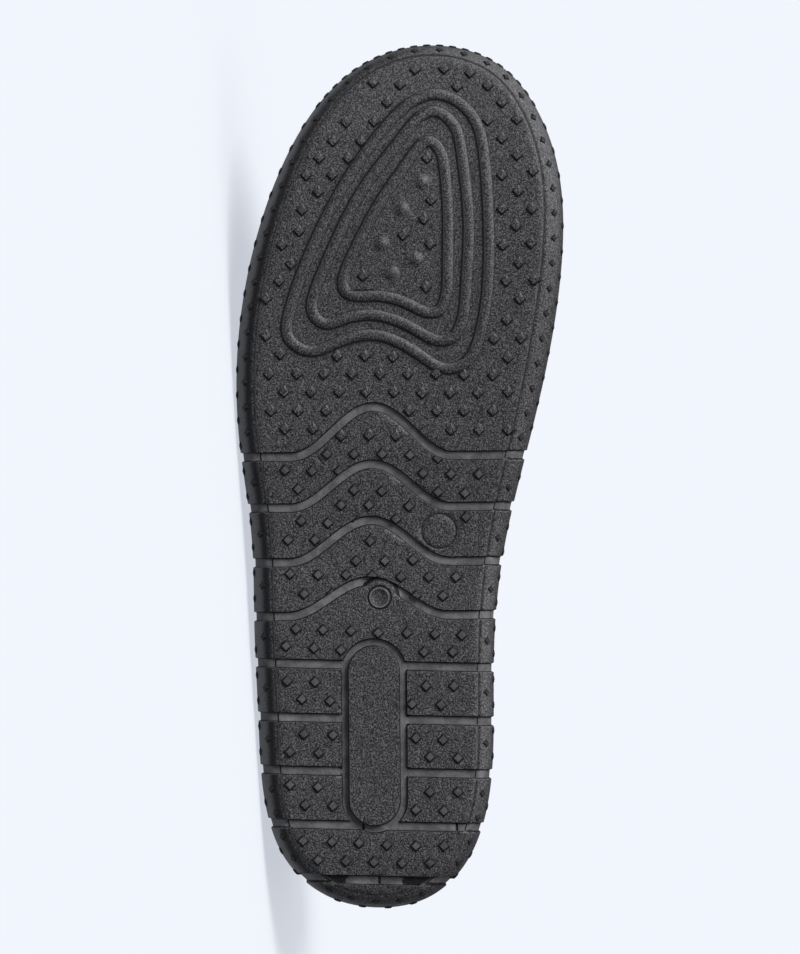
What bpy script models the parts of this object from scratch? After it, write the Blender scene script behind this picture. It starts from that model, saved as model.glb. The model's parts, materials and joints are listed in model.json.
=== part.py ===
"""Slip-on water shoe for the right foot, lying on its outer side.

Three pieces in metres: a moulded rubber cup sole, a sewn stretch upper and a loose insole.
Each piece is built in the shoe's own frame and carried by one empty that lays the shoe down:
  x  across the foot, positive to the outer (little toe) side
  y  along the foot, 0 at the back of the heel, SOLE_LENGTH at the tip of the toe
  z  up from the ground that a standing shoe would touch
Tables give lengths along the foot as shares of SOLE_LENGTH, and across it of BALL_WIDTH.
"""

import math
from collections import namedtuple

import bmesh
import bpy
import numpy as np
from mathutils import Matrix, Vector
from mathutils.geometry import delaunay_2d_cdt

# Main sizes of the sole
SOLE_LENGTH = 0.280
BALL_WIDTH = 0.102
TOE_SPRING = 0.011
HEEL_ROLL = 0.0035
ARCH_RISE = 0.0015
FLOOR_HEIGHT = 0.0056
SIDE_WALL_HEIGHT = 0.0170
SOLE_WALL = 0.0022
RIM_TUCK = 0.0005
CORNER_INSET = 0.0049
CUP_BEND = 0.35

# Tread: studs, ridges and heel pad reach the ground, blocks and grooves lie above it
BLOCK_RISE = 0.0009
GROOVE_DEPTH = 0.0014
GROOVE_WIDTH = 0.0028
GROOVE_DRAFT = 0.0004
NOTCH_DEPTH = 0.0010
TREAD_INSET = 0.0064
RIDGE_WIDTH = 0.0034
RIDGE_TOP = 0.0014
PAD_WIDTH = 0.0160
PAD_RING = 0.0024
WAVE_HALF_WIDTH = 0.026

# Upper and insole
UPPER_WALL = 0.0020
BINDING_WIDTH = 0.0085
BINDING_STEP = 0.0007
COLLAR_HEIGHT = 0.074
INSOLE_THICKNESS = 0.0035
FIT_GAP = 0.0003

# Where along the foot the bottom bends, as shares of SOLE_LENGTH
HEEL_ROLL_END = 0.07
ARCH_START = 0.31
ARCH_END = 0.55
TOE_SPRING_START = 0.74

# How finely the solids are cut
RING_COLUMNS = 88
COLUMN_CROWDING = 0.028
UPPER_ROWS = 9
LINE_SAMPLES = 81
WAVE_STEPS = 20
RIDGE_STEPS = 3
PAD_ARC_STEPS = 8
COLUMN_SPACING = 0.0018
FILL_SPACING = 0.013

# Weights that place the shoe's centre of mass, and how squarely a face it rests on faces outward
RUBBER_DENSITY = 1150.0
CLOTH_DENSITY = 420.0
FOAM_DENSITY = 180.0
OUTER_SIDE_FACING = 0.7

OutlineRow = namedtuple("OutlineRow", "station outer inner")
OUTLINE = [
    OutlineRow(0.014, 0.213, 0.123),
    OutlineRow(0.054, 0.338, 0.235),
    OutlineRow(0.107, 0.399, 0.292),
    OutlineRow(0.214, 0.433, 0.314),
    OutlineRow(0.321, 0.452, 0.311),
    OutlineRow(0.429, 0.468, 0.340),
    OutlineRow(0.536, 0.512, 0.403),
    OutlineRow(0.643, 0.524, 0.464),
    OutlineRow(0.750, 0.486, 0.499),
    OutlineRow(0.857, 0.394, 0.483),
    OutlineRow(0.929, 0.283, 0.409),
    OutlineRow(0.975, 0.150, 0.303),
]
HEEL_TIP_ACROSS = 0.050
TOE_TIP_ACROSS = -0.088

# Wall of the sole, seen in a section: how far in from the widest line, how high, how deep a notch
WallRow = namedtuple("WallRow", "inset height notch")
WALL = [
    WallRow(1.00, 0.00, 1.0),
    WallRow(0.52, 0.10, 1.0),
    WallRow(0.17, 0.28, 1.0),
    WallRow(0.00, 0.60, 0.8),
]

# Height of the wall and inset of the tread edge round the shoe, as shares of their named sizes
RimRow = namedtuple("RimRow", "side station height inset")
RIM = [
    RimRow("heel", 0.00, 1.26, 0.80),
    RimRow("outer", 0.10, 1.12, 1.00),
    RimRow("outer", 0.35, 1.00, 1.05),
    RimRow("outer", 0.65, 1.00, 1.00),
    RimRow("outer", 0.88, 1.10, 0.88),
    RimRow("toe", 1.00, 1.22, 0.66),
    RimRow("inner", 0.88, 1.10, 0.95),
    RimRow("inner", 0.72, 1.00, 1.15),
    RimRow("inner", 0.40, 1.00, 0.92),
    RimRow("inner", 0.10, 1.12, 0.85),
]

# Grooves that cross the tread, heel to ball: where each meets the edge, and how far it waves forward
GrooveRow = namedtuple("GrooveRow", "station wave")
GROOVES = [
    GrooveRow(0.033, 0.000),
    GrooveRow(0.096, 0.000),
    GrooveRow(0.158, 0.000),
    GrooveRow(0.219, 0.000),
    GrooveRow(0.281, 0.000),
    GrooveRow(0.338, 0.040),
    GrooveRow(0.400, 0.048),
    GrooveRow(0.463, 0.050),
    GrooveRow(0.522, 0.057),
]
WAVE_CENTRE = 0.090
PAD_HEEL_END = 0.098
PAD_TOE_END = 0.304
PAD_ACROSS_HEEL = 0.058
PAD_ACROSS_TOE = 0.070

# Three ridges, one inside the other, round a leaning triangle under the ball of the foot
RidgeRow = namedtuple("RidgeRow", "place a_along a_across b_along b_across c_along c_across")
RIDGES = [
    RidgeRow("apex", 0.942, -0.092, 0.922, -0.087, 0.887, -0.076),
    RidgeRow("inner shoulder", 0.917, -0.206, 0.908, -0.144, 0.876, -0.105),
    RidgeRow("inner limb top", 0.871, -0.245, 0.876, -0.173, 0.857, -0.120),
    RidgeRow("inner limb", 0.787, -0.264, 0.792, -0.200, 0.803, -0.134),
    RidgeRow("inner limb foot", 0.718, -0.264, 0.717, -0.196, 0.740, -0.137),
    RidgeRow("above inner corner", 0.663, -0.242, 0.675, -0.181, 0.705, -0.131),
    RidgeRow("inner corner", 0.631, -0.195, 0.663, -0.162, 0.692, -0.112),
    RidgeRow("lowest point", 0.625, -0.142, 0.657, -0.127, 0.689, -0.087),
    RidgeRow("slope", 0.640, -0.055, 0.668, -0.044, 0.696, -0.030),
    RidgeRow("hump", 0.662, 0.104, 0.685, 0.115, 0.707, 0.091),
    RidgeRow("foot of hump", 0.651, 0.215, 0.678, 0.200, 0.707, 0.161),
    RidgeRow("outer foot", 0.642, 0.300, 0.674, 0.251, 0.710, 0.182),
    RidgeRow("outer corner", 0.657, 0.362, 0.687, 0.288, 0.720, 0.193),
    RidgeRow("outer limb foot", 0.687, 0.361, 0.708, 0.284, 0.736, 0.185),
    RidgeRow("outer limb", 0.746, 0.309, 0.747, 0.244, 0.765, 0.151),
    RidgeRow("outer limb top", 0.826, 0.209, 0.828, 0.139, 0.819, 0.075),
    RidgeRow("outer shoulder", 0.899, 0.077, 0.891, 0.016, 0.864, -0.007),
]

# The upper's lines from the rim of the sole to the collar, round the shoe.
# collar_*: where the line ends. rise, flare: how far it first climbs and leans out.
# reach, drop: how the line comes off the collar, towards the rim and down.
UpperRow = namedtuple(
    "UpperRow",
    "side station collar_station collar_across collar_height rise flare reach drop",
)
UPPER = [
    UpperRow("heel", 0.00, 0.034, 0.056, 1.00, 0.38, 0.012, 0.00, 0.34),
    UpperRow("outer", 0.06, 0.072, 0.262, 0.96, 0.36, 0.010, 0.00, 0.34),
    UpperRow("outer", 0.16, 0.150, 0.352, 0.86, 0.34, 0.004, 0.02, 0.34),
    UpperRow("outer", 0.32, 0.250, 0.366, 0.79, 0.34, 0.004, 0.10, 0.36),
    UpperRow("outer", 0.47, 0.345, 0.316, 0.84, 0.38, 0.010, 0.38, 0.28),
    UpperRow("outer", 0.62, 0.415, 0.224, 0.98, 0.44, 0.016, 0.56, 0.18),
    UpperRow("outer", 0.78, 0.458, 0.146, 1.10, 0.50, 0.014, 0.62, 0.19),
    UpperRow("outer", 0.91, 0.478, 0.078, 1.15, 0.50, 0.010, 0.66, 0.27),
    UpperRow("toe", 1.00, 0.485, 0.000, 1.17, 0.52, 0.008, 0.69, 0.33),
    UpperRow("inner", 0.91, 0.478, -0.078, 1.16, 0.53, 0.010, 0.66, 0.28),
    UpperRow("inner", 0.78, 0.458, -0.140, 1.12, 0.54, 0.008, 0.58, 0.19),
    UpperRow("inner", 0.62, 0.415, -0.190, 1.01, 0.48, 0.004, 0.50, 0.18),
    UpperRow("inner", 0.47, 0.345, -0.234, 0.87, 0.42, -0.002, 0.32, 0.26),
    UpperRow("inner", 0.32, 0.250, -0.242, 0.81, 0.36, 0.002, 0.06, 0.34),
    UpperRow("inner", 0.16, 0.150, -0.224, 0.87, 0.34, 0.006, 0.02, 0.34),
    UpperRow("inner", 0.06, 0.072, -0.140, 0.96, 0.36, 0.010, 0.00, 0.34),
]


def periodic_spline(knots, values, period):
    """Return the smooth closed cubic through values at knots, as a function of position."""
    knots = np.asarray(knots, float)
    values = np.asarray(values, float)
    count = len(knots)
    step = np.diff(np.append(knots, knots[0] + period))
    chord = (np.roll(values, -1, axis=0) - values) / step[:, None]
    system = np.zeros((count, count))
    right = np.zeros_like(values)
    for i in range(count):
        before = 1.0 / step[i - 1]
        after = 1.0 / step[i]
        system[i, i - 1] += before
        system[i, i] += 2.0 * (before + after)
        system[i, (i + 1) % count] += after
        right[i] = 3.0 * (chord[i - 1] * before + chord[i] * after)
    slope = np.linalg.solve(system, right)

    def at(position):
        offset = np.mod(np.atleast_1d(position) - knots[0], period)
        i = np.searchsorted(knots - knots[0], offset, side="right") - 1
        t = (offset - (knots[i] - knots[0])) / step[i]
        t = t[:, None]
        j = (i + 1) % count
        h = step[i][:, None]
        start = values[i] * (1 + 2 * t) * (1 - t) ** 2 + slope[i] * h * t * (1 - t) ** 2
        end = values[j] * t**2 * (3 - 2 * t) - slope[j] * h * t**2 * (1 - t)
        return start + end

    return at


def closed_curve(points):
    """Return (curve, knots): a smooth loop through points, run once as its position goes 0 to 1."""
    points = np.asarray(points, float)
    chords = np.linalg.norm(np.roll(points, -1, axis=0) - points, axis=1)
    knots = np.concatenate([[0.0], np.cumsum(chords)[:-1]]) / chords.sum()
    return periodic_spline(knots, points, 1.0), knots


def outline_points():
    """Return the sole's outline points, from the heel up the outer side and down the inner side."""
    outer = [(row.outer * BALL_WIDTH, row.station * SOLE_LENGTH) for row in OUTLINE]
    inner = [(-row.inner * BALL_WIDTH, row.station * SOLE_LENGTH) for row in reversed(OUTLINE)]
    heel = (HEEL_TIP_ACROSS * BALL_WIDTH, 0.0)
    toe = (TOE_TIP_ACROSS * BALL_WIDTH, SOLE_LENGTH)
    return [heel, *outer, toe, *inner]


OUTLINE_CURVE, OUTLINE_KNOTS = closed_curve(outline_points())
HEEL_POSITION = 0.0
TOE_POSITION = OUTLINE_KNOTS[len(OUTLINE) + 1]


def position_at(side, station):
    """Return the place round the outline that lies at a station of the named side."""
    if side == "heel":
        return HEEL_POSITION
    if side == "toe":
        return TOE_POSITION
    low, high = (HEEL_POSITION, TOE_POSITION) if side == "outer" else (1.0, TOE_POSITION)
    for _ in range(40):
        middle = 0.5 * (low + high)
        if OUTLINE_CURVE(middle)[0, 1] < station * SOLE_LENGTH:
            low = middle
        else:
            high = middle
    return 0.5 * (low + high)


def around(table, columns):
    """Return the named columns of a table as smooth functions of the place round the outline."""
    knots = [position_at(row.side, row.station) for row in table]
    values = [[getattr(row, column) for column in columns] for row in table]
    return periodic_spline(knots, values, 1.0)


RIM_AROUND = around(RIM, ["height", "inset"])
UPPER_AROUND = around(UPPER, UpperRow._fields[2:])


def inward(positions):
    """Return the unit vectors that point into the sole across its outline."""
    reach = 1e-4
    along = OUTLINE_CURVE(positions + reach) - OUTLINE_CURVE(positions - reach)
    along /= np.linalg.norm(along, axis=1)[:, None]
    return np.stack([-along[:, 1], along[:, 0]], axis=1)


def inset_line(positions, distance):
    """Return the outline's points moved in by a distance, one for each position."""
    return OUTLINE_CURVE(positions) + inward(positions) * np.reshape(distance, (-1, 1))


def tread_edge(positions):
    """Return the plan points where the flat tread turns up into the wall."""
    return inset_line(positions, RIM_AROUND(positions)[:, 1] * TREAD_INSET)


def last_rise(along):
    """Return how far the bottom of the last lifts along the foot: arch and toe spring."""
    station = np.asarray(along) / SOLE_LENGTH
    toe = np.clip((station - TOE_SPRING_START) / (1.0 - TOE_SPRING_START), 0.0, None)
    arch = np.clip((station - ARCH_START) / (ARCH_END - ARCH_START), 0.0, 1.0)
    return toe**2 * TOE_SPRING + np.sin(np.pi * arch) ** 2 * ARCH_RISE


def ground_rise(along):
    """Return how far the tread lifts off the ground: the last's rise and the rolled heel."""
    station = np.asarray(along) / SOLE_LENGTH
    heel = np.clip((HEEL_ROLL_END - station) / HEEL_ROLL_END, 0.0, None)
    return last_rise(along) + heel**2 * HEEL_ROLL


def wave_line(groove, across):
    """Return how far along the foot a groove's middle lies, and its slope, at places across."""
    phase = np.clip((across - WAVE_CENTRE * BALL_WIDTH) / WAVE_HALF_WIDTH, -1.0, 1.0) * math.pi
    height = groove.wave * SOLE_LENGTH
    along = groove.station * SOLE_LENGTH + 0.5 * height * (1 + np.cos(phase))
    slope = -0.5 * height * math.pi / WAVE_HALF_WIDTH * np.sin(phase)
    return along, slope


def groove_offset(groove, points):
    """Return how far points lie toeward (+) or heelward (-) of a groove's middle."""
    along, slope = wave_line(groove, points[:, 0])
    return (points[:, 1] - along) / np.sqrt(1 + slope**2)


def pad_distance(points):
    """Return how far points lie outside (+) or inside (-) the long heel pad."""
    radius = 0.5 * PAD_WIDTH
    heel = np.array([PAD_ACROSS_HEEL * BALL_WIDTH, PAD_HEEL_END * SOLE_LENGTH + radius])
    toe = np.array([PAD_ACROSS_TOE * BALL_WIDTH, PAD_TOE_END * SOLE_LENGTH - radius])
    axis = toe - heel
    share = np.clip((points - heel) @ axis / (axis @ axis), 0.0, 1.0)
    return np.linalg.norm(points - heel - share[:, None] * axis, axis=1) - radius


def pad_loop(distance):
    """Return a loop of points that lies at a distance round the heel pad."""
    radius = 0.5 * PAD_WIDTH + distance
    heel = (PAD_ACROSS_HEEL * BALL_WIDTH, PAD_HEEL_END * SOLE_LENGTH + 0.5 * PAD_WIDTH)
    toe = (PAD_ACROSS_TOE * BALL_WIDTH, PAD_TOE_END * SOLE_LENGTH - 0.5 * PAD_WIDTH)
    lean = math.atan2(toe[0] - heel[0], toe[1] - heel[1])
    points = []
    for centre, first in ((toe, 0.0), (heel, math.pi)):
        for step in range(PAD_ARC_STEPS + 1):
            turn = first - lean + math.pi * step / PAD_ARC_STEPS
            points.append((centre[0] + radius * math.cos(turn), centre[1] + radius * math.sin(turn)))
    return np.array(points)


def ridge_curves():
    """Return the closed middle lines of the three ridges, outermost first."""
    curves = []
    for name in "abc":
        across = [getattr(row, name + "_across") * BALL_WIDTH for row in RIDGES]
        along = [getattr(row, name + "_along") * SOLE_LENGTH for row in RIDGES]
        curves.append(closed_curve(list(zip(across, along))))
    return curves


def ridge_loop(curve, knots, distance):
    """Return a loop of points beside a ridge's middle line, at a signed distance from it."""
    gaps = np.diff(np.append(knots, 1.0))
    steps = np.arange(RIDGE_STEPS) / RIDGE_STEPS
    positions = (knots[:, None] + gaps[:, None] * steps).ravel()
    along = curve(positions + 1e-4) - curve(positions - 1e-4)
    along /= np.linalg.norm(along, axis=1)[:, None]
    side = np.stack([-along[:, 1], along[:, 0]], axis=1)
    return curve(positions) + side * distance


def ridge_distance(points, curves):
    """Return how far points lie from the nearest ridge's middle line."""
    dense = np.linspace(0.0, 1.0, 400, endpoint=False)
    lines = np.concatenate([curve(dense) for curve, _ in curves])
    return np.linalg.norm(points[:, None] - lines[None], axis=2).min(axis=1)


def tread_height(points, curves):
    """Return the height of the tread at plan points: blocks, grooves, heel pad and ridges."""
    pad = pad_distance(points)
    ring = np.abs(pad - 0.5 * PAD_RING) - 0.5 * PAD_RING
    groove = ring
    for row in GROOVES:
        groove = np.minimum(groove, np.abs(groove_offset(row, points)) - 0.5 * GROOVE_WIDTH)
    cut = np.clip(1.0 - groove / GROOVE_DRAFT, 0.0, 1.0)
    height = BLOCK_RISE + GROOVE_DEPTH * cut
    pad_share = np.clip(-pad / GROOVE_DRAFT, 0.0, 1.0)
    height = np.where(pad < 0.0, (BLOCK_RISE + GROOVE_DEPTH) * (1.0 - pad_share), height)
    flank = 0.5 * (RIDGE_WIDTH - RIDGE_TOP)
    lift = np.clip((0.5 * RIDGE_WIDTH - ridge_distance(points, curves)) / flank, 0.0, 1.0)
    return ground_rise(points[:, 1]) + height - BLOCK_RISE * lift


def groove_lines():
    """Return the offsets, from a groove's middle, of its floor's and its brinks' edges."""
    floor = 0.5 * GROOVE_WIDTH
    brink = floor + GROOVE_DRAFT
    return (-brink, -floor, floor, brink)


def mouth_positions(groove, offset):
    """Return the outer and inner places where one line of a groove meets the tread edge."""
    dense = np.linspace(0.0, 1.0, 6001)
    side = groove_offset(groove, tread_edge(dense)) - offset
    change = np.nonzero(side[:-1] * side[1:] < 0.0)[0]
    share = side[change] / (side[change] - side[change + 1])
    crossings = dense[change] + share * (dense[change + 1] - dense[change])
    return crossings.min(), crossings.max()


def groove_mouths():
    """Return where each groove's lines meet the tread edge, as {(groove, offset): (outer, inner)}."""
    return {(row, offset): mouth_positions(row, offset) for row in GROOVES for offset in groove_lines()}


def wall_columns(mouths):
    """Return (positions, plain): the wall's columns, and which of them lie away from the grooves.

    They crowd towards the heel and the toe, where the outline turns most.
    """
    mouths = np.array(sorted(place for pair in mouths.values() for place in pair))
    even = np.arange(RING_COLUMNS) / RING_COLUMNS
    plain = even - COLUMN_CROWDING * np.sin(4 * math.pi * even)
    girth = np.linalg.norm(np.diff(OUTLINE_CURVE(np.linspace(0, 1, 400)), axis=0), axis=1).sum()
    gap = np.abs(np.mod(plain, 1.0)[:, None] - mouths[None])
    gap = np.minimum(gap, 1.0 - gap).min(axis=1)
    plain = plain[gap * girth > COLUMN_SPACING]
    return np.sort(np.concatenate([plain, mouths])), plain


def ring(plan, height):
    """Return plan points and their heights as one ring of points in space."""
    return np.column_stack([plan, height])


def groove_cut(points):
    """Return how deep the grooves are at plan points, as a share of their full depth."""
    offsets = [np.abs(groove_offset(row, points)) - 0.5 * GROOVE_WIDTH for row in GROOVES]
    return np.clip(1.0 - np.min(offsets, axis=0) / GROOVE_DRAFT, 0.0, 1.0)


def wall_foot(positions):
    """Return the height of the block surface at the tread edge."""
    return ground_rise(tread_edge(positions)[:, 1]) + BLOCK_RISE


def rim_height(positions):
    """Return the height of the sole's rim."""
    return wall_foot(positions) + RIM_AROUND(positions)[:, 0] * SIDE_WALL_HEIGHT


def cavity_rings(positions, gap):
    """Return the rings of the sole's inner face, floor first, each moved in by a gap."""
    rim = rim_height(positions)
    lip_inset = RIM_TUCK + SOLE_WALL
    bend_inset = CUP_BEND * CORNER_INSET + (1.0 - CUP_BEND) * lip_inset
    corner = inset_line(positions, CORNER_INSET + gap)
    bend = inset_line(positions, bend_inset + gap)
    lip = inset_line(positions, lip_inset + gap)
    floor = last_rise(corner[:, 1]) + FLOOR_HEIGHT + gap
    return [ring(corner, floor), ring(bend, floor + CUP_BEND * (rim - floor)), ring(lip, rim)]


def wall_rings(positions, curves):
    """Return the rings of the sole's outer face, from the tread edge to the rim."""
    edge = tread_edge(positions)
    cut = groove_cut(edge)
    foot = wall_foot(positions)
    rise = rim_height(positions) - foot
    inset = RIM_AROUND(positions)[:, 1] * TREAD_INSET
    rings = [ring(edge, tread_height(edge, curves))]
    for row in WALL[1:]:
        notch = NOTCH_DEPTH * row.notch * cut
        plan = inset_line(positions, row.inset * inset + notch)
        rings.append(ring(plan, foot + row.height * rise))
    rings.append(ring(inset_line(positions, np.full(len(positions), RIM_TUCK)), foot + rise))
    return rings


def tread_lines(positions, mouths, curves):
    """Return the plan lines that the tread is cut along, each as (points, closed)."""
    edge = tread_edge(positions)
    lines = [(edge, True)]
    for (row, offset), (outer, inner) in mouths.items():
        ends = edge[[np.abs(positions - outer).argmin(), np.abs(positions - inner).argmin()]]
        across = np.linspace(ends[0, 0], ends[1, 0], WAVE_STEPS if row.wave else 3)
        along, slope = wave_line(row, across)
        lean = offset / np.sqrt(1 + slope**2)
        line = np.column_stack([across - slope * lean, along + lean])
        line[0], line[-1] = ends
        lines += split_at_pad(line)
    for distance in (-GROOVE_DRAFT, 0.0, PAD_RING, PAD_RING + GROOVE_DRAFT):
        lines.append((pad_loop(distance), True))
    for curve, knots in curves:
        for distance in (-0.5 * RIDGE_WIDTH, -0.5 * RIDGE_TOP, 0.5 * RIDGE_TOP, 0.5 * RIDGE_WIDTH):
            lines.append((ridge_loop(curve, knots, distance), True))
    return lines


def split_at_pad(line):
    """Return a groove's line, or its two parts where the heel pad's ring takes it up."""
    dense = np.concatenate([np.linspace(a, b, 60, endpoint=False) for a, b in zip(line, line[1:])])
    inside = np.nonzero(pad_distance(dense) < 0.5 * PAD_RING)[0]
    if len(inside) == 0:
        return [(line, False)]
    first = dense[inside[0]]
    last = dense[inside[-1]]
    outer = [p for p in line if p[0] > first[0]] + [first]
    inner = [last] + [p for p in line if p[0] < last[0]]
    return [(np.array(outer), False), (np.array(inner), False)]


def filling(lines):
    """Return spread-out plan points inside the tread that keep its triangles even."""
    taken = np.concatenate([points for points, _ in lines])
    edge = lines[0][0]
    found = []
    low, high = edge.min(axis=0), edge.max(axis=0)
    for along in np.arange(low[1], high[1], FILL_SPACING):
        for across in np.arange(low[0], high[0], FILL_SPACING):
            point = np.array([across, along])
            near = np.linalg.norm(taken - point, axis=1).min()
            if near > 0.45 * FILL_SPACING and inside_loop(point, edge):
                found.append(point)
    return np.array(found)


def inside_loop(point, loop):
    """Return whether a plan point lies inside a closed loop of points."""
    ahead = np.roll(loop, -1, axis=0)
    crosses = (loop[:, 1] > point[1]) != (ahead[:, 1] > point[1])
    with np.errstate(divide="ignore", invalid="ignore"):
        at = loop[:, 0] + (point[1] - loop[:, 1]) * (ahead[:, 0] - loop[:, 0]) / (ahead[:, 1] - loop[:, 1])
    return np.count_nonzero(crosses & (point[0] < at)) % 2 == 1


def triangulate(lines, loose):
    """Return (plan points, triangles) of the area inside the first line, cut along every line."""
    points = []
    edges = []
    for line, closed in lines:
        start = len(points)
        points += [Vector(p) for p in line]
        count = len(line)
        edges += [(start + i, start + i + 1) for i in range(count - 1)]
        if closed:
            edges.append((start + count - 1, start))
    points += [Vector(p) for p in loose]
    result = delaunay_2d_cdt(points, edges, [], 0, 1e-7)
    plan = np.array([tuple(p) for p in result[0]])
    boundary = lines[0][0]
    keep = [f for f in result[2] if inside_loop(plan[list(f)].mean(axis=0), boundary)]
    return plan, keep


def add_rings(mesh, rings):
    """Add closed rings of points to a mesh, each joined to the next; return their vertices."""
    loops = [[mesh.verts.new(point) for point in points] for points in rings]
    for low, high in zip(loops, loops[1:]):
        count = len(low)
        for i in range(count):
            j = (i + 1) % count
            mesh.faces.new((low[i], low[j], high[j], high[i]))
    return loops


def add_cap(mesh, loop, lines, loose, height):
    """Close a loop of vertices with a surface cut along plan lines, at the height given."""
    plan, triangles = triangulate(lines, loose)
    rim = lines[0][0]
    used = sorted({i for triangle in triangles for i in triangle})
    heights = height(plan)
    vertices = {}
    for i in used:
        gap = np.linalg.norm(rim - plan[i], axis=1)
        nearest = int(gap.argmin())
        if gap[nearest] < 1e-6:
            vertices[i] = loop[nearest]
        else:
            vertices[i] = mesh.verts.new((plan[i][0], plan[i][1], heights[i]))
    for triangle in triangles:
        mesh.faces.new([vertices[i] for i in triangle])


def finish_mesh(mesh, name):
    """Return a Blender mesh made from a bmesh, all triangles, with its faces pointing out."""
    bmesh.ops.recalc_face_normals(mesh, faces=mesh.faces[:])
    bmesh.ops.triangulate(mesh, faces=mesh.faces[:], quad_method="SHORT_EDGE")
    data = bpy.data.meshes.new(name)
    mesh.to_mesh(data)
    mesh.free()
    return data


def build_outsole(positions, mouths):
    """Return the mesh of the moulded sole: tread, side wall and the cup that holds the upper."""
    curves = ridge_curves()
    mesh = bmesh.new()
    outer = wall_rings(positions, curves)
    inner = cavity_rings(positions, 0.0)
    loops = add_rings(mesh, outer + inner[::-1])
    lines = tread_lines(positions, mouths, curves)
    add_cap(mesh, loops[0], lines, filling(lines), lambda plan: tread_height(plan, curves))
    floor = [(inner[0][:, :2], True)]
    add_cap(mesh, loops[-1], floor, filling(floor), lambda plan: last_rise(plan[:, 1]) + FLOOR_HEIGHT)
    return finish_mesh(mesh, "outsole")


def upper_lines(positions):
    """Return the upper's outer face above the rim as a grid of points, rim first, collar last."""
    start = cavity_rings(positions, FIT_GAP)[-1]
    shape = dict(zip(UpperRow._fields[2:], UPPER_AROUND(positions).T))
    end = np.column_stack([
        shape["collar_across"] * BALL_WIDTH,
        shape["collar_station"] * SOLE_LENGTH,
        shape["collar_height"] * COLLAR_HEIGHT,
    ])
    climb = end[:, 2] - start[:, 2]
    outward = -inward(positions) * (shape["flare"] * BALL_WIDTH)[:, None]
    after_start = start + np.column_stack([outward, shape["rise"] * climb])
    before_end = end.copy()
    before_end[:, :2] += (start - end)[:, :2] * shape["reach"][:, None]
    before_end[:, 2] -= shape["drop"] * climb
    t = np.linspace(0.0, 1.0, LINE_SAMPLES)[:, None, None]
    lines = start * (1 - t) ** 3 + after_start * 3 * t * (1 - t) ** 2
    lines = lines + before_end * 3 * t**2 * (1 - t) + end * t**3
    return resample(lines)


def resample(lines):
    """Return the lines cut evenly, with two cuts close together where the collar's binding starts."""
    columns = []
    for line in lines.transpose(1, 0, 2):
        steps = np.linalg.norm(np.diff(line, axis=0), axis=1)
        run = np.append(0.0, np.cumsum(steps))
        bound = run[-1] - BINDING_WIDTH
        cuts = np.append(np.linspace(0.0, bound - BINDING_STEP, UPPER_ROWS), [bound, run[-1]])
        columns.append(np.column_stack([np.interp(cuts, run, line[:, k]) for k in range(3)]))
    return np.array(columns).transpose(1, 0, 2)


def surface_normals(grid):
    """Return the outward unit normals of a grid of closed rings."""
    round_shoe = np.roll(grid, -1, axis=1) - np.roll(grid, 1, axis=1)
    up_shoe = np.gradient(grid, axis=0)
    normal = np.cross(round_shoe, up_shoe)
    return normal / np.linalg.norm(normal, axis=2)[:, :, None]


def upper_grid(positions):
    """Return the whole outer face of the upper as a grid, from inside the sole to the collar."""
    tucked = np.array(cavity_rings(positions, FIT_GAP)[:-1])
    return np.concatenate([tucked, upper_lines(positions)])


def build_upper(positions):
    """Return the mesh of the upper: one hollow wall, open at the collar and underneath."""
    grid = upper_grid(positions)
    normal = surface_normals(grid)
    normal[0, :, 2] = 0.0
    normal[0] /= np.linalg.norm(normal[0], axis=1)[:, None]
    inner = grid - normal * UPPER_WALL
    inner[0, :, 2] = grid[0, :, 2]
    outer = grid.copy()
    outer[-2:] += normal[-2:] * BINDING_STEP
    mesh = bmesh.new()
    loops = add_rings(mesh, list(outer) + list(inner[::-1]))
    first, last = loops[0], loops[-1]
    for i in range(len(first)):
        j = (i + 1) % len(first)
        mesh.faces.new((last[i], last[j], first[j], first[i]))
    return finish_mesh(mesh, "upper")


def insole_plan(positions):
    """Return the insole's outline, a fitting gap inside the upper."""
    return inset_line(positions, CORNER_INSET + UPPER_WALL + 2 * FIT_GAP)


def build_insole(positions):
    """Return the mesh of the insole: a sheet of foam on the floor of the sole."""
    plan = insole_plan(positions)
    low = last_rise(plan[:, 1]) + FLOOR_HEIGHT + FIT_GAP
    mesh = bmesh.new()
    loops = add_rings(mesh, [ring(plan, low), ring(plan, low + INSOLE_THICKNESS)])
    lines = [(plan, True)]
    for loop, lift in ((loops[0], 0.0), (loops[1], INSOLE_THICKNESS)):
        level = FLOOR_HEIGHT + FIT_GAP + lift
        add_cap(mesh, loop, lines, filling(lines), lambda p, level=level: last_rise(p[:, 1]) + level)
    return finish_mesh(mesh, "insole")


def weight_and_middle(data, density):
    """Return a closed mesh's mass and its mass times its middle, from its triangles."""
    mass = 0.0
    moment = Vector()
    data.calc_loop_triangles()
    for triangle in data.loop_triangles:
        a, b, c = (data.vertices[i].co for i in triangle.vertices)
        part = a.dot(b.cross(c)) / 6.0 * density
        mass += part
        moment += (a + b + c) / 4.0 * part
    return mass, moment


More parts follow.
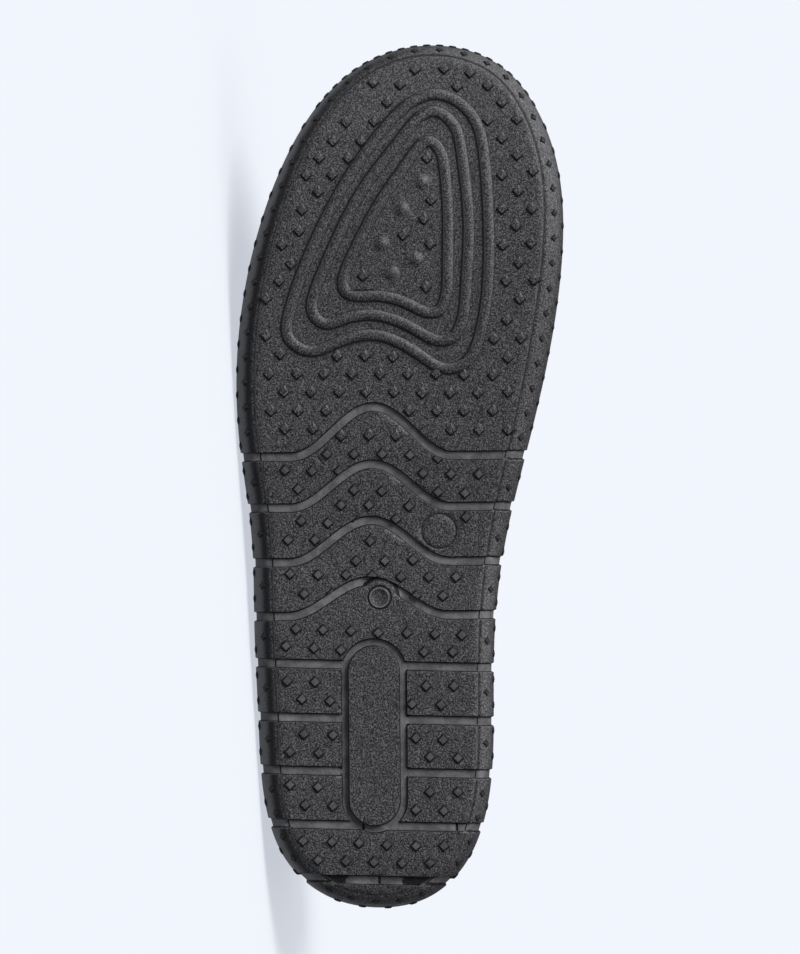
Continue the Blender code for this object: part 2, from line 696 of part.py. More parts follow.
def resting_turn(pieces):
    """Return the matrix that lays the shoe on its outer side, on the face that it comes to rest on.

    The shoe rests on the face of its convex hull that lies straight under its centre of mass.
    """
    sums = [weight_and_middle(data, density) for data, density in pieces]
    middle = sum((moment for _, moment in sums), Vector()) / sum(mass for mass, _ in sums)
    hull = bmesh.new()
    for data, _ in pieces:
        for vertex in data.vertices:
            hull.verts.new(vertex.co)
    bmesh.ops.convex_hull(hull, input=hull.verts[:], use_existing_faces=False)
    best = None
    for face in hull.faces:
        normal = face.normal if face.normal.dot(face.verts[0].co - middle) > 0 else -face.normal
        if normal.x < OUTER_SIDE_FACING:
            continue
        foot = middle + normal * normal.dot(face.verts[0].co - middle)
        slack = min(edge_slack(face, foot, normal))
        if best is None or slack > best[0]:
            best = (slack, normal.copy(), face.verts[0].co.copy())
    hull.free()
    down = best[1]
    toe = Vector((0.0, 1.0, 0.0))
    toe = (toe - down * toe.dot(down)).normalized()
    return Matrix((-toe, -toe.cross(down), -down)).to_4x4()


def edge_slack(face, point, normal):
    """Return how far a point lies inside each edge of a face, seen along its normal."""
    corners = [vertex.co for vertex in face.verts]
    centre = sum(corners, Vector()) / len(corners)
    for a, b in zip(corners, corners[1:] + corners[:1]):
        side = normal.cross(b - a).normalized()
        if side.dot(centre - a) < 0:
            side = -side
        yield side.dot(point - a)


def plain_material(name, colour, roughness):
    """Return a material with one colour and roughness."""
    material = bpy.data.materials.new(name)
    material.use_nodes = True
    shader = material.node_tree.nodes["Principled BSDF"]
    shader.inputs["Base Color"].default_value = colour
    shader.inputs["Roughness"].default_value = roughness
    shader.inputs["Metallic"].default_value = 0.0
    return material


def clear_scene():
    """Remove the objects that the scene starts with."""
    for item in list(bpy.data.objects):
        bpy.data.objects.remove(item)


def main():
    """Build the shoe and lay it on its outer side, with its lowest point at height 0."""
    clear_scene()
    mouths = groove_mouths()
    positions, plain = wall_columns(mouths)
    rubber = plain_material("black_rubber", (0.055, 0.055, 0.058, 1.0), 0.62)
    cloth = plain_material("stretch_cloth", (0.020, 0.020, 0.022, 1.0), 0.85)
    foam = plain_material("foam_insole", (0.050, 0.050, 0.055, 1.0), 0.90)
    pieces = {
        "outsole": (build_outsole(positions, mouths), RUBBER_DENSITY, rubber),
        "upper": (build_upper(plain), CLOTH_DENSITY, cloth),
        "insole": (build_insole(plain), FOAM_DENSITY, foam),
    }
    turn = resting_turn([(data, density) for data, density, _ in pieces.values()])
    corners = [turn @ vertex.co for data, _, _ in pieces.values() for vertex in data.vertices]
    low = Vector([min(corner[k] for corner in corners) for k in range(3)])
    high = Vector([max(corner[k] for corner in corners) for k in range(3)])
    shift = Vector((-(low.x + high.x) / 2, -(low.y + high.y) / 2, -low.z))
    shoe = bpy.data.objects.new("shoe", None)
    shoe.matrix_world = Matrix.Translation(shift) @ turn
    bpy.context.scene.collection.objects.link(shoe)
    for name, (data, _, material) in pieces.items():
        data.materials.append(material)
        piece = bpy.data.objects.new(name, data)
        piece.parent = shoe
        bpy.context.scene.collection.objects.link(piece)
        data.shade_smooth()
        data.set_sharp_from_angle(angle=math.radians(35))


main()
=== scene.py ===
"""Looks of a right water shoe that lies on its outer side, seen straight onto its tread.

Everything is worked out in the frame of the standing shoe and then laid down with it:
  x  across the foot, positive to the outer (little toe) side
  y  along the foot, 0 at the back of the heel, sole_length at the tip of the toe
  z  up from the ground that the standing shoe would touch
Tables give lengths along the foot as shares of sole_length, and across it of ball_width.
"""

import json
import logging
import math
from collections.abc import Callable, Sequence
from dataclasses import dataclass, field
from enum import Enum
from typing import NamedTuple

import bmesh
import bpy
import numpy as np
from bpy.types import Material, Mesh, Node, NodeSocket, NodeTree, Object
from mathutils import Matrix, Vector
from mathutils.geometry import delaunay_2d_cdt
from mathutils.kdtree import KDTree


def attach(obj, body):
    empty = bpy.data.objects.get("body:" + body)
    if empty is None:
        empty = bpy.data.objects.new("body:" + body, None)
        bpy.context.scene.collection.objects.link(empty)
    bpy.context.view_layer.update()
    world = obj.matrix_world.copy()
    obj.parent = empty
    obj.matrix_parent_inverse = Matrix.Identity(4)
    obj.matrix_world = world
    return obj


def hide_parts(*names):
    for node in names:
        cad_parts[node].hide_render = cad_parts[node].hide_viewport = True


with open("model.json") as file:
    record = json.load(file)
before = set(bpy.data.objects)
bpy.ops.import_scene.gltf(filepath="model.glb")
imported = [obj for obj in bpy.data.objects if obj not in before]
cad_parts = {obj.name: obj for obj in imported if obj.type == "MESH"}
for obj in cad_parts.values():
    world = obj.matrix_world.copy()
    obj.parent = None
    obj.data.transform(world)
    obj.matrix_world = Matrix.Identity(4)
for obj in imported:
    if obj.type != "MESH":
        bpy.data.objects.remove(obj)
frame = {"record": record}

LOG = logging.getLogger("water_shoe")
BODY = "root"
MM = 0.001
SHARP_ANGLE = math.radians(50)
TURN_REACH = 1e-4
Array = np.ndarray
Line = tuple[Array, bool]
Pair = tuple[float, float]
Pixel = tuple[float, float]
Colour = tuple[float, float, float]
Direction = tuple[float, float, float]
Shares = tuple[float, ...]
Groups = dict[str, NodeTree]


class Side(Enum):
    """The four parts of the shoe's outline."""

    HEEL = "heel"
    OUTER = "outer"
    TOE = "toe"
    INNER = "inner"


class OutlineRow(NamedTuple):
    """A station of the plan and how far the sole reaches to either side there."""

    station: float
    outer: float
    inner: float


class WallRow(NamedTuple):
    """A point of the side wall's section: inset from the widest line, height, depth of a notch."""

    inset: float
    height: float
    notch: float


class RimRow(NamedTuple):
    """Height of the side wall and inset of the tread's edge at a place round the shoe."""

    side: Side
    station: float
    height: float
    inset: float


class GrooveRow(NamedTuple):
    """A groove across the tread: where it meets the edge, and how far it waves forward."""

    station: float
    wave: float


class RidgeRow(NamedTuple):
    """One corner or bend of the three nested ridges, as places of ridge a, b and c."""

    place: str
    a_along: float
    a_across: float
    b_along: float
    b_across: float
    c_along: float
    c_across: float


class UpperRow(NamedTuple):
    """One line of the upper from the rim of the sole to the collar."""

    side: Side
    station: float
    collar_station: float
    collar_across: float
    collar_height: float
    rise: float
    flare: float
    reach: float
    drop: float


OUTLINE = [OutlineRow(*row) for row in (
    (0.014, 0.213, 0.123),
    (0.054, 0.338, 0.235),
    (0.107, 0.399, 0.292),
    (0.214, 0.433, 0.314),
    (0.321, 0.452, 0.311),
    (0.429, 0.468, 0.340),
    (0.536, 0.512, 0.403),
    (0.643, 0.524, 0.464),
    (0.750, 0.486, 0.499),
    (0.857, 0.394, 0.483),
    (0.929, 0.283, 0.409),
    (0.975, 0.150, 0.303),
)]
WALL = [WallRow(*row) for row in (
    (1.00, 0.00, 1.0),
    (0.52, 0.10, 1.0),
    (0.17, 0.28, 1.0),
    (0.00, 0.60, 0.8),
    (0.00, 1.00, 0.8),
)]
RIM = [RimRow(*row) for row in (
    (Side.HEEL, 0.00, 1.26, 0.80),
    (Side.OUTER, 0.10, 1.12, 1.00),
    (Side.OUTER, 0.35, 1.00, 1.05),
    (Side.OUTER, 0.65, 1.00, 1.00),
    (Side.OUTER, 0.88, 1.10, 0.88),
    (Side.TOE, 1.00, 1.22, 0.66),
    (Side.INNER, 0.88, 1.10, 0.95),
    (Side.INNER, 0.72, 1.00, 1.15),
    (Side.INNER, 0.40, 1.00, 0.92),
    (Side.INNER, 0.10, 1.12, 0.85),
)]
GROOVES = [GrooveRow(*row) for row in (
    (0.033, 0.000),
    (0.096, 0.000),
    (0.158, 0.000),
    (0.219, 0.000),
    (0.281, 0.000),
    (0.338, 0.040),
    (0.400, 0.048),
    (0.463, 0.050),
    (0.522, 0.057),
)]
BUTTON_GROOVE = GROOVES[5]
RIDGES = [RidgeRow(*row) for row in (
    ("apex", 0.942, -0.092, 0.922, -0.087, 0.887, -0.076),
    ("inner shoulder", 0.917, -0.206, 0.908, -0.144, 0.876, -0.105),
    ("inner limb top", 0.871, -0.245, 0.876, -0.173, 0.857, -0.120),
    ("inner limb", 0.787, -0.264, 0.792, -0.200, 0.803, -0.134),
    ("inner limb foot", 0.718, -0.264, 0.717, -0.196, 0.740, -0.137),
    ("above inner corner", 0.663, -0.242, 0.675, -0.181, 0.705, -0.131),
    ("inner corner", 0.631, -0.195, 0.663, -0.162, 0.692, -0.112),
    ("lowest point", 0.625, -0.142, 0.657, -0.127, 0.689, -0.087),
    ("slope", 0.640, -0.055, 0.668, -0.044, 0.696, -0.030),
    ("hump", 0.662, 0.104, 0.685, 0.115, 0.707, 0.091),
    ("foot of hump", 0.651, 0.215, 0.678, 0.200, 0.707, 0.161),
    ("outer foot", 0.642, 0.300, 0.674, 0.251, 0.710, 0.182),
    ("outer corner", 0.657, 0.362, 0.687, 0.288, 0.720, 0.193),
    ("outer limb foot", 0.687, 0.361, 0.708, 0.284, 0.736, 0.185),
    ("outer limb", 0.746, 0.309, 0.747, 0.244, 0.765, 0.151),
    ("outer limb top", 0.826, 0.209, 0.828, 0.139, 0.819, 0.075),
    ("outer shoulder", 0.899, 0.077, 0.891, 0.016, 0.864, -0.007),
)]
UPPER = [UpperRow(*row) for row in (
    (Side.HEEL, 0.00, 0.034, 0.056, 1.00, 0.38, 0.012, 0.00, 0.34),
    (Side.OUTER, 0.06, 0.072, 0.262, 0.96, 0.36, 0.010, 0.00, 0.34),
    (Side.OUTER, 0.16, 0.150, 0.352, 0.86, 0.34, 0.004, 0.02, 0.34),
    (Side.OUTER, 0.32, 0.250, 0.366, 0.79, 0.34, 0.004, 0.10, 0.36),
    (Side.OUTER, 0.47, 0.345, 0.316, 0.84, 0.38, 0.010, 0.38, 0.28),
    (Side.OUTER, 0.62, 0.415, 0.224, 0.98, 0.44, 0.016, 0.56, 0.18),
    (Side.OUTER, 0.78, 0.458, 0.146, 1.10, 0.50, 0.014, 0.62, 0.19),
    (Side.OUTER, 0.91, 0.478, 0.078, 1.15, 0.50, 0.010, 0.66, 0.27),
    (Side.TOE, 1.00, 0.485, 0.000, 1.17, 0.52, 0.008, 0.69, 0.33),
    (Side.INNER, 0.91, 0.478, -0.078, 1.16, 0.53, 0.010, 0.66, 0.28),
    (Side.INNER, 0.78, 0.458, -0.140, 1.12, 0.54, 0.008, 0.58, 0.19),
    (Side.INNER, 0.62, 0.415, -0.190, 1.01, 0.48, 0.004, 0.50, 0.18),
    (Side.INNER, 0.47, 0.345, -0.234, 0.87, 0.42, -0.002, 0.32, 0.26),
    (Side.INNER, 0.32, 0.250, -0.242, 0.81, 0.36, 0.002, 0.06, 0.34),
    (Side.INNER, 0.16, 0.150, -0.224, 0.87, 0.34, 0.006, 0.02, 0.34),
    (Side.INNER, 0.06, 0.072, -0.140, 0.96, 0.36, 0.010, 0.00, 0.34),
)]

# Studs of the tread, charted in the 800 x 954 photograph, row by row from the toe
STUD_CHART = [
    (415, 69), (444, 68), (470, 72),
    (373, 82), (400, 84), (457, 86), (488, 85),
    (387, 102), (502, 102), (374, 121), (346, 122), (488, 120), (517, 119),
    (333, 141), (361, 141), (502, 138), (319, 158), (348, 158), (517, 155),
    (306, 175), (332, 175), (502, 175), (533, 171), (318, 192), (518, 191),
    (302, 210), (502, 209), (532, 209), (299, 231), (516, 226),
    (282, 245), (503, 245), (531, 243), (291, 264), (519, 263),
    (279, 281), (506, 281), (534, 280), (266, 299), (520, 299),
    (507, 320), (540, 316), (266, 336), (494, 339), (521, 338),
    (280, 354), (337, 356), (365, 356), (393, 357), (508, 358),
    (269, 374), (297, 374), (324, 374), (352, 374), (380, 374),
    (408, 374), (436, 374), (464, 375), (493, 375),
    (284, 392), (311, 392), (339, 392), (366, 392), (394, 392),
    (422, 393), (450, 393), (478, 393), (508, 392),
    (271, 411), (298, 411), (326, 411), (409, 411), (437, 411), (464, 411), (493, 411),
    (285, 429), (313, 429), (451, 430), (479, 430), (508, 430),
    (341, 436), (369, 435), (396, 436),
    (327, 454), (354, 454), (382, 454), (410, 455), (438, 458),
    (285, 470), (312, 471), (339, 471), (423, 473), (451, 474), (479, 474),
    (298, 489), (354, 490), (382, 491), (438, 492), (465, 493),
    (341, 505), (369, 505), (409, 506),
    (301, 521), (328, 523), (396, 519), (466, 517),
    (288, 540), (315, 540), (370, 541),
    (356, 561), (385, 561), (413, 560),
    (290, 574), (318, 575), (346, 575), (372, 576), (401, 577), (429, 577), (456, 577),
    (304, 594), (332, 594), (416, 596), (443, 596),
    (296, 629), (323, 630), (351, 631), (378, 633), (407, 633), (435, 634), (462, 635),
    (286, 646), (314, 648), (341, 650), (424, 652), (453, 652),
    (287, 681), (315, 682), (302, 699), (330, 701),
    (426, 686), (454, 686), (412, 704), (441, 705),
    (304, 734), (333, 735), (290, 752), (319, 753),
    (416, 738), (443, 740), (430, 757), (458, 758),
    (290, 785), (318, 787), (305, 805), (333, 806),
    (430, 792), (458, 792), (416, 810), (444, 811),
    (303, 841), (332, 842), (359, 843), (387, 845), (416, 846), (444, 846),
    (318, 860), (346, 861), (374, 862), (402, 863), (430, 863),
    (427, 158), (431, 200), (424, 219), (403, 235), (430, 244), (426, 287), (363, 276),
]
DOME_CHART = [(422, 182), (402, 209), (382, 244), (415, 259), (392, 273)]
# Thin lines that the mould has left, from pixel to pixel, and how strongly painted shade darkens each
TICK_CHART = [
    ((363.5, 821), (363.5, 831), 0.9),
    ((457.0, 824), (457.0, 833), 0.9),
    ((379.5, 874), (379.5, 884), 0.9),
    ((349.0, 291), (372.0, 290), 0.8),
    ((478.0, 514), (478.0, 556), 0.35),
    ((357.0, 516), (352.0, 522), 0.8),
    ((322.0, 463), (318.0, 458), 0.8),
]
BUTTON_PIXEL = (379.5, 597.5)
RING_PIXEL = (439.0, 531.0)


def deselect_all() -> None:
    """Leave nothing selected, so that the next operator acts on new pieces alone."""
    if bpy.context.object and bpy.context.object.mode != "OBJECT":
        bpy.ops.object.mode_set(mode="OBJECT")
    bpy.ops.object.select_all(action="DESELECT")


def smooth_step(share: Array) -> Array:
    """Return 0 below 0, 1 above 1 and an S-shaped rise between."""
    share = np.clip(share, 0.0, 1.0)
    return share * share * (3.0 - 2.0 * share)


def lengths(vectors: Array) -> Array:
    """Return the length of each vector in an array's last axis."""
    return np.linalg.norm(vectors, axis=-1)


def units(vectors: Array) -> Array:
    """Return vectors with the same directions and a length of 1."""
    return vectors / np.linalg.norm(vectors, axis=-1, keepdims=True)


def run_along(line: Array) -> Array:
    """Return how far along a line each of its points lies."""
    return np.append(0.0, np.cumsum(lengths(np.diff(line, axis=0))))


def read_at(places: Array | float, run: Array, rows: Array) -> Array:
    """Return rows that belong to a line's points, read at distances along it."""
    return np.stack([np.interp(places, run, column) for column in rows.T], axis=-1)


def off_segment(points: Array, start: Array, end: Array) -> Array:
    """Return how far points lie from the straight line between two places."""
    axis = end - start
    share = np.clip((points - start) @ axis / (axis @ axis), 0.0, 1.0)
    return lengths(points - start - share[:, None] * axis)


def mirrored(sides: Sequence[float]) -> list[float]:
    """Return offsets to both sides of a middle, with the middle itself."""
    return [-side for side in reversed(sides)] + [0.0] + list(sides)


class ClosedSpline:
    """A smooth closed cubic through values at knots, read at any position."""

    def __init__(self, knots: Sequence[float], values: Sequence[Sequence[float]]) -> None:
        """Solve the spline's slopes.

        Args:
            knots: Rising positions, which repeat with a period of 1.
            values: What the spline gives at each knot.
        """
        self.knots = np.asarray(knots, float)
        self.values = np.asarray(values, float)
        count = len(self.knots)
        self.step = np.diff(np.append(self.knots, self.knots[0] + 1.0))
        chord = (np.roll(self.values, -1, axis=0) - self.values) / self.step[:, None]
        system = np.zeros((count, count))
        right = np.zeros_like(self.values)
        for i in range(count):
            before = 1.0 / self.step[i - 1]
            after = 1.0 / self.step[i]
            system[i, i - 1] += before
            system[i, i] += 2.0 * (before + after)
            system[i, (i + 1) % count] += after
            right[i] = 3.0 * (chord[i - 1] * before + chord[i] * after)
        self.slope = np.linalg.solve(system, right)

    def __call__(self, position: Array) -> Array:
        """Return the spline's values at places round the loop, a row for each."""
        offset = np.mod(np.atleast_1d(position) - self.knots[0], 1.0)
        i = np.searchsorted(self.knots - self.knots[0], offset, side="right") - 1
        t = ((offset - (self.knots[i] - self.knots[0])) / self.step[i])[:, None]
        j = (i + 1) % len(self.knots)
        h = self.step[i][:, None]
        start = self.values[i] * (1 + 2 * t) * (1 - t) ** 2 + self.slope[i] * h * t * (1 - t) ** 2
        end = self.values[j] * t**2 * (3 - 2 * t) - self.slope[j] * h * t**2 * (1 - t)
        return start + end

    @classmethod
    def through(cls, points: Sequence[Sequence[float]]) -> "ClosedSpline":
        """Return a smooth loop through points, knotted by the chords between them."""
        points = np.asarray(points, float)
        chords = lengths(np.roll(points, -1, axis=0) - points)
        return cls(np.concatenate([[0.0], np.cumsum(chords)[:-1]]) / chords.sum(), points)


@dataclass
class Last:
    """The form that the shoe is made on: its outline, its floor and the rim of the sole."""

    sole_length: float = 280 * MM
    ball_width: float = 102 * MM
    toe_spring: float = 11 * MM
    heel_roll: float = 3.5 * MM
    arch_rise: float = 1.5 * MM
    floor_height: float = 5.6 * MM
    wall_height: float = 17 * MM
    sole_wall: float = 2.2 * MM
    rim_tuck: float = 0.5 * MM
    corner_inset: float = 4.9 * MM
    cup_bend: float = 0.35
    block_rise: float = 0.9 * MM
    tread_inset: float = 6.4 * MM
    heel_tip_across: float = 0.050
    toe_tip_across: float = -0.088
    heel_roll_end: float = 0.07
    arch_start: float = 0.31
    arch_end: float = 0.55
    toe_spring_start: float = 0.74
    samples: int = 2000
    halvings: int = 40

    def __post_init__(self) -> None:
        """Run the outline and what varies round it as splines."""
        outer = [(row.outer * self.ball_width, row.station * self.sole_length) for row in OUTLINE]
        inner = [(-row.inner * self.ball_width, row.station * self.sole_length) for row in reversed(OUTLINE)]
        heel = (self.heel_tip_across * self.ball_width, 0.0)
        toe = (self.toe_tip_across * self.ball_width, self.sole_length)
        self.outline = ClosedSpline.through([heel, *outer, toe, *inner])
        self.toe_position = float(self.outline.knots[len(OUTLINE) + 1])
        self.rim = self.around(RIM, ["height", "inset"])
        dense = self.outline(np.linspace(0.0, 1.0, self.samples))
        self.girth = float(lengths(np.diff(dense, axis=0)).sum())

    def position_at(self, side: Side, station: float) -> float:
        """Return the place round the outline that lies at a station of a side."""
        if side is Side.HEEL:
            return 0.0
        if side is Side.TOE:
            return self.toe_position
        low = 0.0 if side is Side.OUTER else 1.0
        high = self.toe_position
        for _ in range(self.halvings):
            middle = 0.5 * (low + high)
            if self.outline(middle)[0, 1] < station * self.sole_length:
                low = middle
            else:
                high = middle
        return 0.5 * (low + high)

    def around(self, table: Sequence[tuple], columns: Sequence[str]) -> ClosedSpline:
        """Return columns of a table as smooth functions of the place round the outline."""
        knots = [self.position_at(row.side, row.station) for row in table]
        return ClosedSpline(knots, [[getattr(row, column) for column in columns] for row in table])

    def inward(self, positions: Array) -> Array:
        """Return unit vectors that point into the sole across its outline."""
        along = units(self.outline(positions + TURN_REACH) - self.outline(positions - TURN_REACH))
        return np.stack([-along[:, 1], along[:, 0]], axis=1)

    def inset_line(self, positions: Array, distance: Array | float) -> Array:
        """Return the outline's points moved in by a distance."""
        return self.outline(positions) + self.inward(positions) * np.reshape(distance, (-1, 1))

    def edge_inset(self, positions: Array) -> Array:
        """Return how far the tread's edge lies inside the outline."""
        return self.rim(positions)[:, 1] * self.tread_inset

    def tread_edge(self, positions: Array) -> Array:
        """Return the plan points where the flat tread turns up into the wall."""
        return self.inset_line(positions, self.edge_inset(positions))

    def last_rise(self, along: Array) -> Array:
        """Return how far the last's bottom lifts along the foot: arch and toe spring."""
        station = np.asarray(along) / self.sole_length
        toe = np.clip((station - self.toe_spring_start) / (1.0 - self.toe_spring_start), 0.0, None)
        arch = np.clip((station - self.arch_start) / (self.arch_end - self.arch_start), 0.0, 1.0)
        return toe**2 * self.toe_spring + np.sin(np.pi * arch) ** 2 * self.arch_rise

    def ground_rise(self, along: Array) -> Array:
        """Return how far the tread lifts off the ground: the last's rise and the rolled heel."""
        station = np.asarray(along) / self.sole_length
        heel = np.clip((self.heel_roll_end - station) / self.heel_roll_end, 0.0, None)
        return self.last_rise(along) + heel**2 * self.heel_roll

    def wall_foot(self, positions: Array) -> Array:
        """Return the height of the block surface at the tread's edge."""
        return self.ground_rise(self.tread_edge(positions)[:, 1]) + self.block_rise

    def rim_height(self, positions: Array) -> Array:
        """Return the height of the sole's rim."""
        return self.wall_foot(positions) + self.rim(positions)[:, 0] * self.wall_height

    def cup_rings(self, positions: Array, gap: float) -> list[Array]:
        """Return the rings of the sole's inner face.

        Args:
            positions: Places round the outline.
            gap: How far each ring moves in from the rubber.

        Returns:
            The floor's corner, the bend above it and the lip at the rim.
        """
        rim = self.rim_height(positions)
        lip = self.rim_tuck + self.sole_wall
        bend = self.cup_bend * self.corner_inset + (1.0 - self.cup_bend) * lip
        corner = self.inset_line(positions, self.corner_inset + gap)
        floor = self.last_rise(corner[:, 1]) + self.floor_height + gap
        return [
            np.column_stack([corner, floor]),
            np.column_stack([self.inset_line(positions, bend + gap), floor + self.cup_bend * (rim - floor)]),
            np.column_stack([self.inset_line(positions, lip + gap), rim]),
        ]

    def level_floor(self, height: float) -> Callable:
        """Return a function that gives plan points a height above the last's bottom, and no mark."""
        def level(plan: Array) -> tuple[Array, float]:
            """Return the height of plan points and their mark."""
            return self.last_rise(plan[:, 1]) + height, 0.0
        return level


@dataclass
class ShoeFrame:
    """Where the standing shoe's frame lies in the scene, found from two mounts of the record."""

    last: Last
    heel_spot: Pair = (0.064, 0.20)
    forefoot_spot: Pair = (-0.05, 0.60)

    def __post_init__(self) -> None:
        """Read the two mounts and work out the turn and the shift between the frames."""
        mounts = {mount["name"]: mount for mount in find_mounts(frame["record"])}
        heel = np.array(mounts["tread_heel"]["pos_m"], float)
        forefoot = np.array(mounts["tread_forefoot"]["pos_m"], float)
        up = -np.array(mounts["tread_heel"]["axis"], float)
        up /= np.linalg.norm(up)
        heel_local = self.spot(self.heel_spot, 0.0)
        forefoot_local = self.spot(self.forefoot_spot, self.last.block_rise)
        across, along, _ = forefoot_local - heel_local
        run = forefoot - heel
        run -= up * (run @ up)
        run /= np.linalg.norm(run)
        length = math.hypot(across, along)
        side = np.cross(up, run)
        x_axis = (run * across - side * along) / length
        y_axis = np.cross(up, x_axis)
        self.turn = np.column_stack([x_axis, y_axis, up])
        self.shift = heel - self.turn @ heel_local

    def spot(self, place: tuple[float, float], height: float) -> Array:
        """Return a mount's place in the standing shoe's frame."""
        return np.array([place[0] * self.last.ball_width, place[1] * self.last.sole_length, height])

    def lay(self, points: Array) -> Array:
        """Return the standing shoe's points where they lie in the scene."""
        return np.asarray(points) @ self.turn.T + self.shift

    def direction(self, vector: Sequence[float]) -> Vector:
        """Return one of the standing shoe's directions in the scene."""
        return Vector(self.turn @ np.asarray(vector, float))


def find_mounts(record: dict) -> list[dict]:
    """Return the record's list of mounts, wherever it keeps it."""
    if "mounts" in record:
        return record["mounts"]
    for value in record.values():
        if isinstance(value, dict):
            found = find_mounts(value)
            if found:
                return found
    return []


@dataclass
class PhotoView:
    """The photograph's scale and tilt, which turn its pixels into places on the tread."""

    width: int = 800
    height: int = 954
    metres_per_pixel: float = 0.32287 * MM
    tilt: float = math.radians(1.2)
    middle_along: float = 139.66 * MM

    def plan(self, pixel: Pixel) -> Array:
        """Return the plan point of the tread that a pixel shows."""
        right = (pixel[0] - self.width / 2) * self.metres_per_pixel
        down = (pixel[1] - self.height / 2) * self.metres_per_pixel
        sine, cosine = math.sin(self.tilt), math.cos(self.tilt)
        return np.array([-(right * cosine + down * sine), right * sine - down * cosine + self.middle_along])


@dataclass
class TreadRelief:
    """What is moulded into the tread: grooves, heel pad, ridges and the mould's own marks, with painted shade
    at the ridges' feet and in the thin marks.
    """

    last: Last
    photo: PhotoView
    groove_depth: float = 1.15 * MM
    groove_width: float = 2.5 * MM
    brink: float = 0.42 * MM
    brink_top: float = 0.9
    brink_run: float = 1.1
    brink_lines: Shares = (-0.2, 0.06, 0.35, 0.64, 0.9)
    wave_centre: float = 0.090
    wave_half_width: float = 26 * MM
    wave_lean: float = -0.030
    pad_width: float = 16.8 * MM
    pad_ring: float = 2.0 * MM
    pad_heel_end: float = 0.0955
    pad_toe_end: float = 0.304
    pad_across_heel: float = 0.058
    pad_across_toe: float = 0.070
    pad_seam: float = 0.1
    ridge_width: float = 3.5 * MM
    ridge_fullness: float = 2.4
    ridge_flatness: float = 0.9
    ridge_samples: int = 1600
    ridge_lines: Shares = (0.36, 0.66, 0.84, 0.94, 1.04, 1.16, 1.3)
    # Painted shade at the ridges' feet: a wide dark line on the side away from the key light, a thin one on
    # the lit side
    dark_side: Pair = (0.8, -0.6)
    dark_foot: Pair = (1.08, 0.23)
    thin_foot: Pair = (1.04, 0.08)
    thin_foot_dark: float = 0.8
    button_radius: float = 3.7 * MM
    button_dish: float = 2.75 * MM
    # Painted shade in the button's sunk dish
    dish_dark: float = 0.3
    dish_edge: float = 0.3
    dish_lines: Shares = (-0.45, 0.0, 0.5, 1.0)
    button_clearing: float = 6.6 * MM
    button_fade: float = 0.25
    ring_radius: float = 5.6 * MM
    # Painted shade in the sunk ring
    ring_dark: float = 0.7
    mark_width: float = 0.5 * MM
    mark_depth: float = 0.45 * MM
    mark_fullness: float = 1.3
    mark_half: float = 0.6
    mark_side: float = 0.7
    mark_lines: Shares = (-0.8, -0.2, 0.2, 0.8)
    pale_below: float = 0.1
    rear_patch: Pair = (5.4 * MM, 10.5 * MM)
    rear_fade: float = 0.3
    rear_floor: float = 0.3
    dome_radius: float = 2.7 * MM
    dome_height: float = 1.15 * MM
    dome_lines: Shares = (0.15, 0.3, 0.45, 0.6, 0.75, 0.9, 1.02)
    tick_width: float = 0.35 * MM
    tick_half: float = 0.6
    tick_lines: Shares = (0.5, 1.3)
    step: float = 1.0 * MM
    straight_step: float = 2.5 * MM
    circle_step: float = 0.6 * MM
    circle_least: int = 12
    mouth_samples: int = 6001

    def __post_init__(self) -> None:
        """Place the marks and run the ridges' middle lines."""
        self.button = self.photo.plan(BUTTON_PIXEL)
        self.ring = self.photo.plan(RING_PIXEL)
        self.domes = [self.photo.plan(pixel) for pixel in DOME_CHART]
        self.ticks = [(self.photo.plan(start), self.photo.plan(end), dark) for start, end, dark in TICK_CHART]
        self.ridges = []
        for name in "abc":
            across = [getattr(row, name + "_across") * self.last.ball_width for row in RIDGES]
            along = [getattr(row, name + "_along") * self.last.sole_length for row in RIDGES]
            self.ridges.append(ClosedSpline.through(list(zip(across, along))))
        dense = np.linspace(0.0, 1.0, self.ridge_samples, endpoint=False)
        middle = np.concatenate([ridge(dense) for ridge in self.ridges])
        self.ridge_tree = KDTree(len(middle))
        for i, point in enumerate(middle):
            self.ridge_tree.insert((point[0], point[1], 0.0), i)
        self.ridge_tree.balance()

    def wave_line(self, groove: GrooveRow, across: Array) -> tuple[Array, Array]:
        """Return how far along the foot a groove's middle lies, and its slope, at places across."""
        away = across - self.wave_centre * self.last.ball_width
        phase = np.clip(away / self.wave_half_width, -1.0, 1.0) * math.pi
        height = groove.wave * self.last.sole_length
        lean = self.wave_lean if groove.wave else 0.0
        along = groove.station * self.last.sole_length + lean * away + 0.5 * height * (1 + np.cos(phase))
        return along, lean - 0.5 * height * math.pi / self.wave_half_width * np.sin(phase)

    def groove_offset(self, groove: GrooveRow, points: Array) -> Array:
        """Return how far points lie toeward (+) or heelward (-) of a groove's middle."""
        along, slope = self.wave_line(groove, points[:, 0])
        return (points[:, 1] - along) / np.sqrt(1 + slope**2)

    def groove_gap(self, points: Array, with_button: bool = True) -> Array:
        """Return how far plan points lie outside the floor of the nearest groove."""
        gap = np.full(len(points), 1.0)
        for row in GROOVES:
            found = np.abs(self.groove_offset(row, points)) - 0.5 * self.groove_width
            if row is BUTTON_GROOVE and with_button:
                clearing = self.button_clearing - lengths(points - self.button)
                found = np.maximum(found, self.button_fade * clearing)
            gap = np.minimum(gap, found)
        return gap

    def cut_share(self, gap: Array) -> Array:
        """Return how much of a groove's depth is cut at a gap from its floor, with a soft brink."""
        return smooth_step((self.brink_top * self.brink - gap) / (self.brink_run * self.brink))

    def pad_ends(self) -> tuple[Array, Array]:
        """Return the middles of the heel pad's two round ends."""
        radius = 0.5 * self.pad_width
        width, length = self.last.ball_width, self.last.sole_length
        heel = np.array([self.pad_across_heel * width, self.pad_heel_end * length + radius])
        toe = np.array([self.pad_across_toe * width, self.pad_toe_end * length - radius])
        return heel, toe

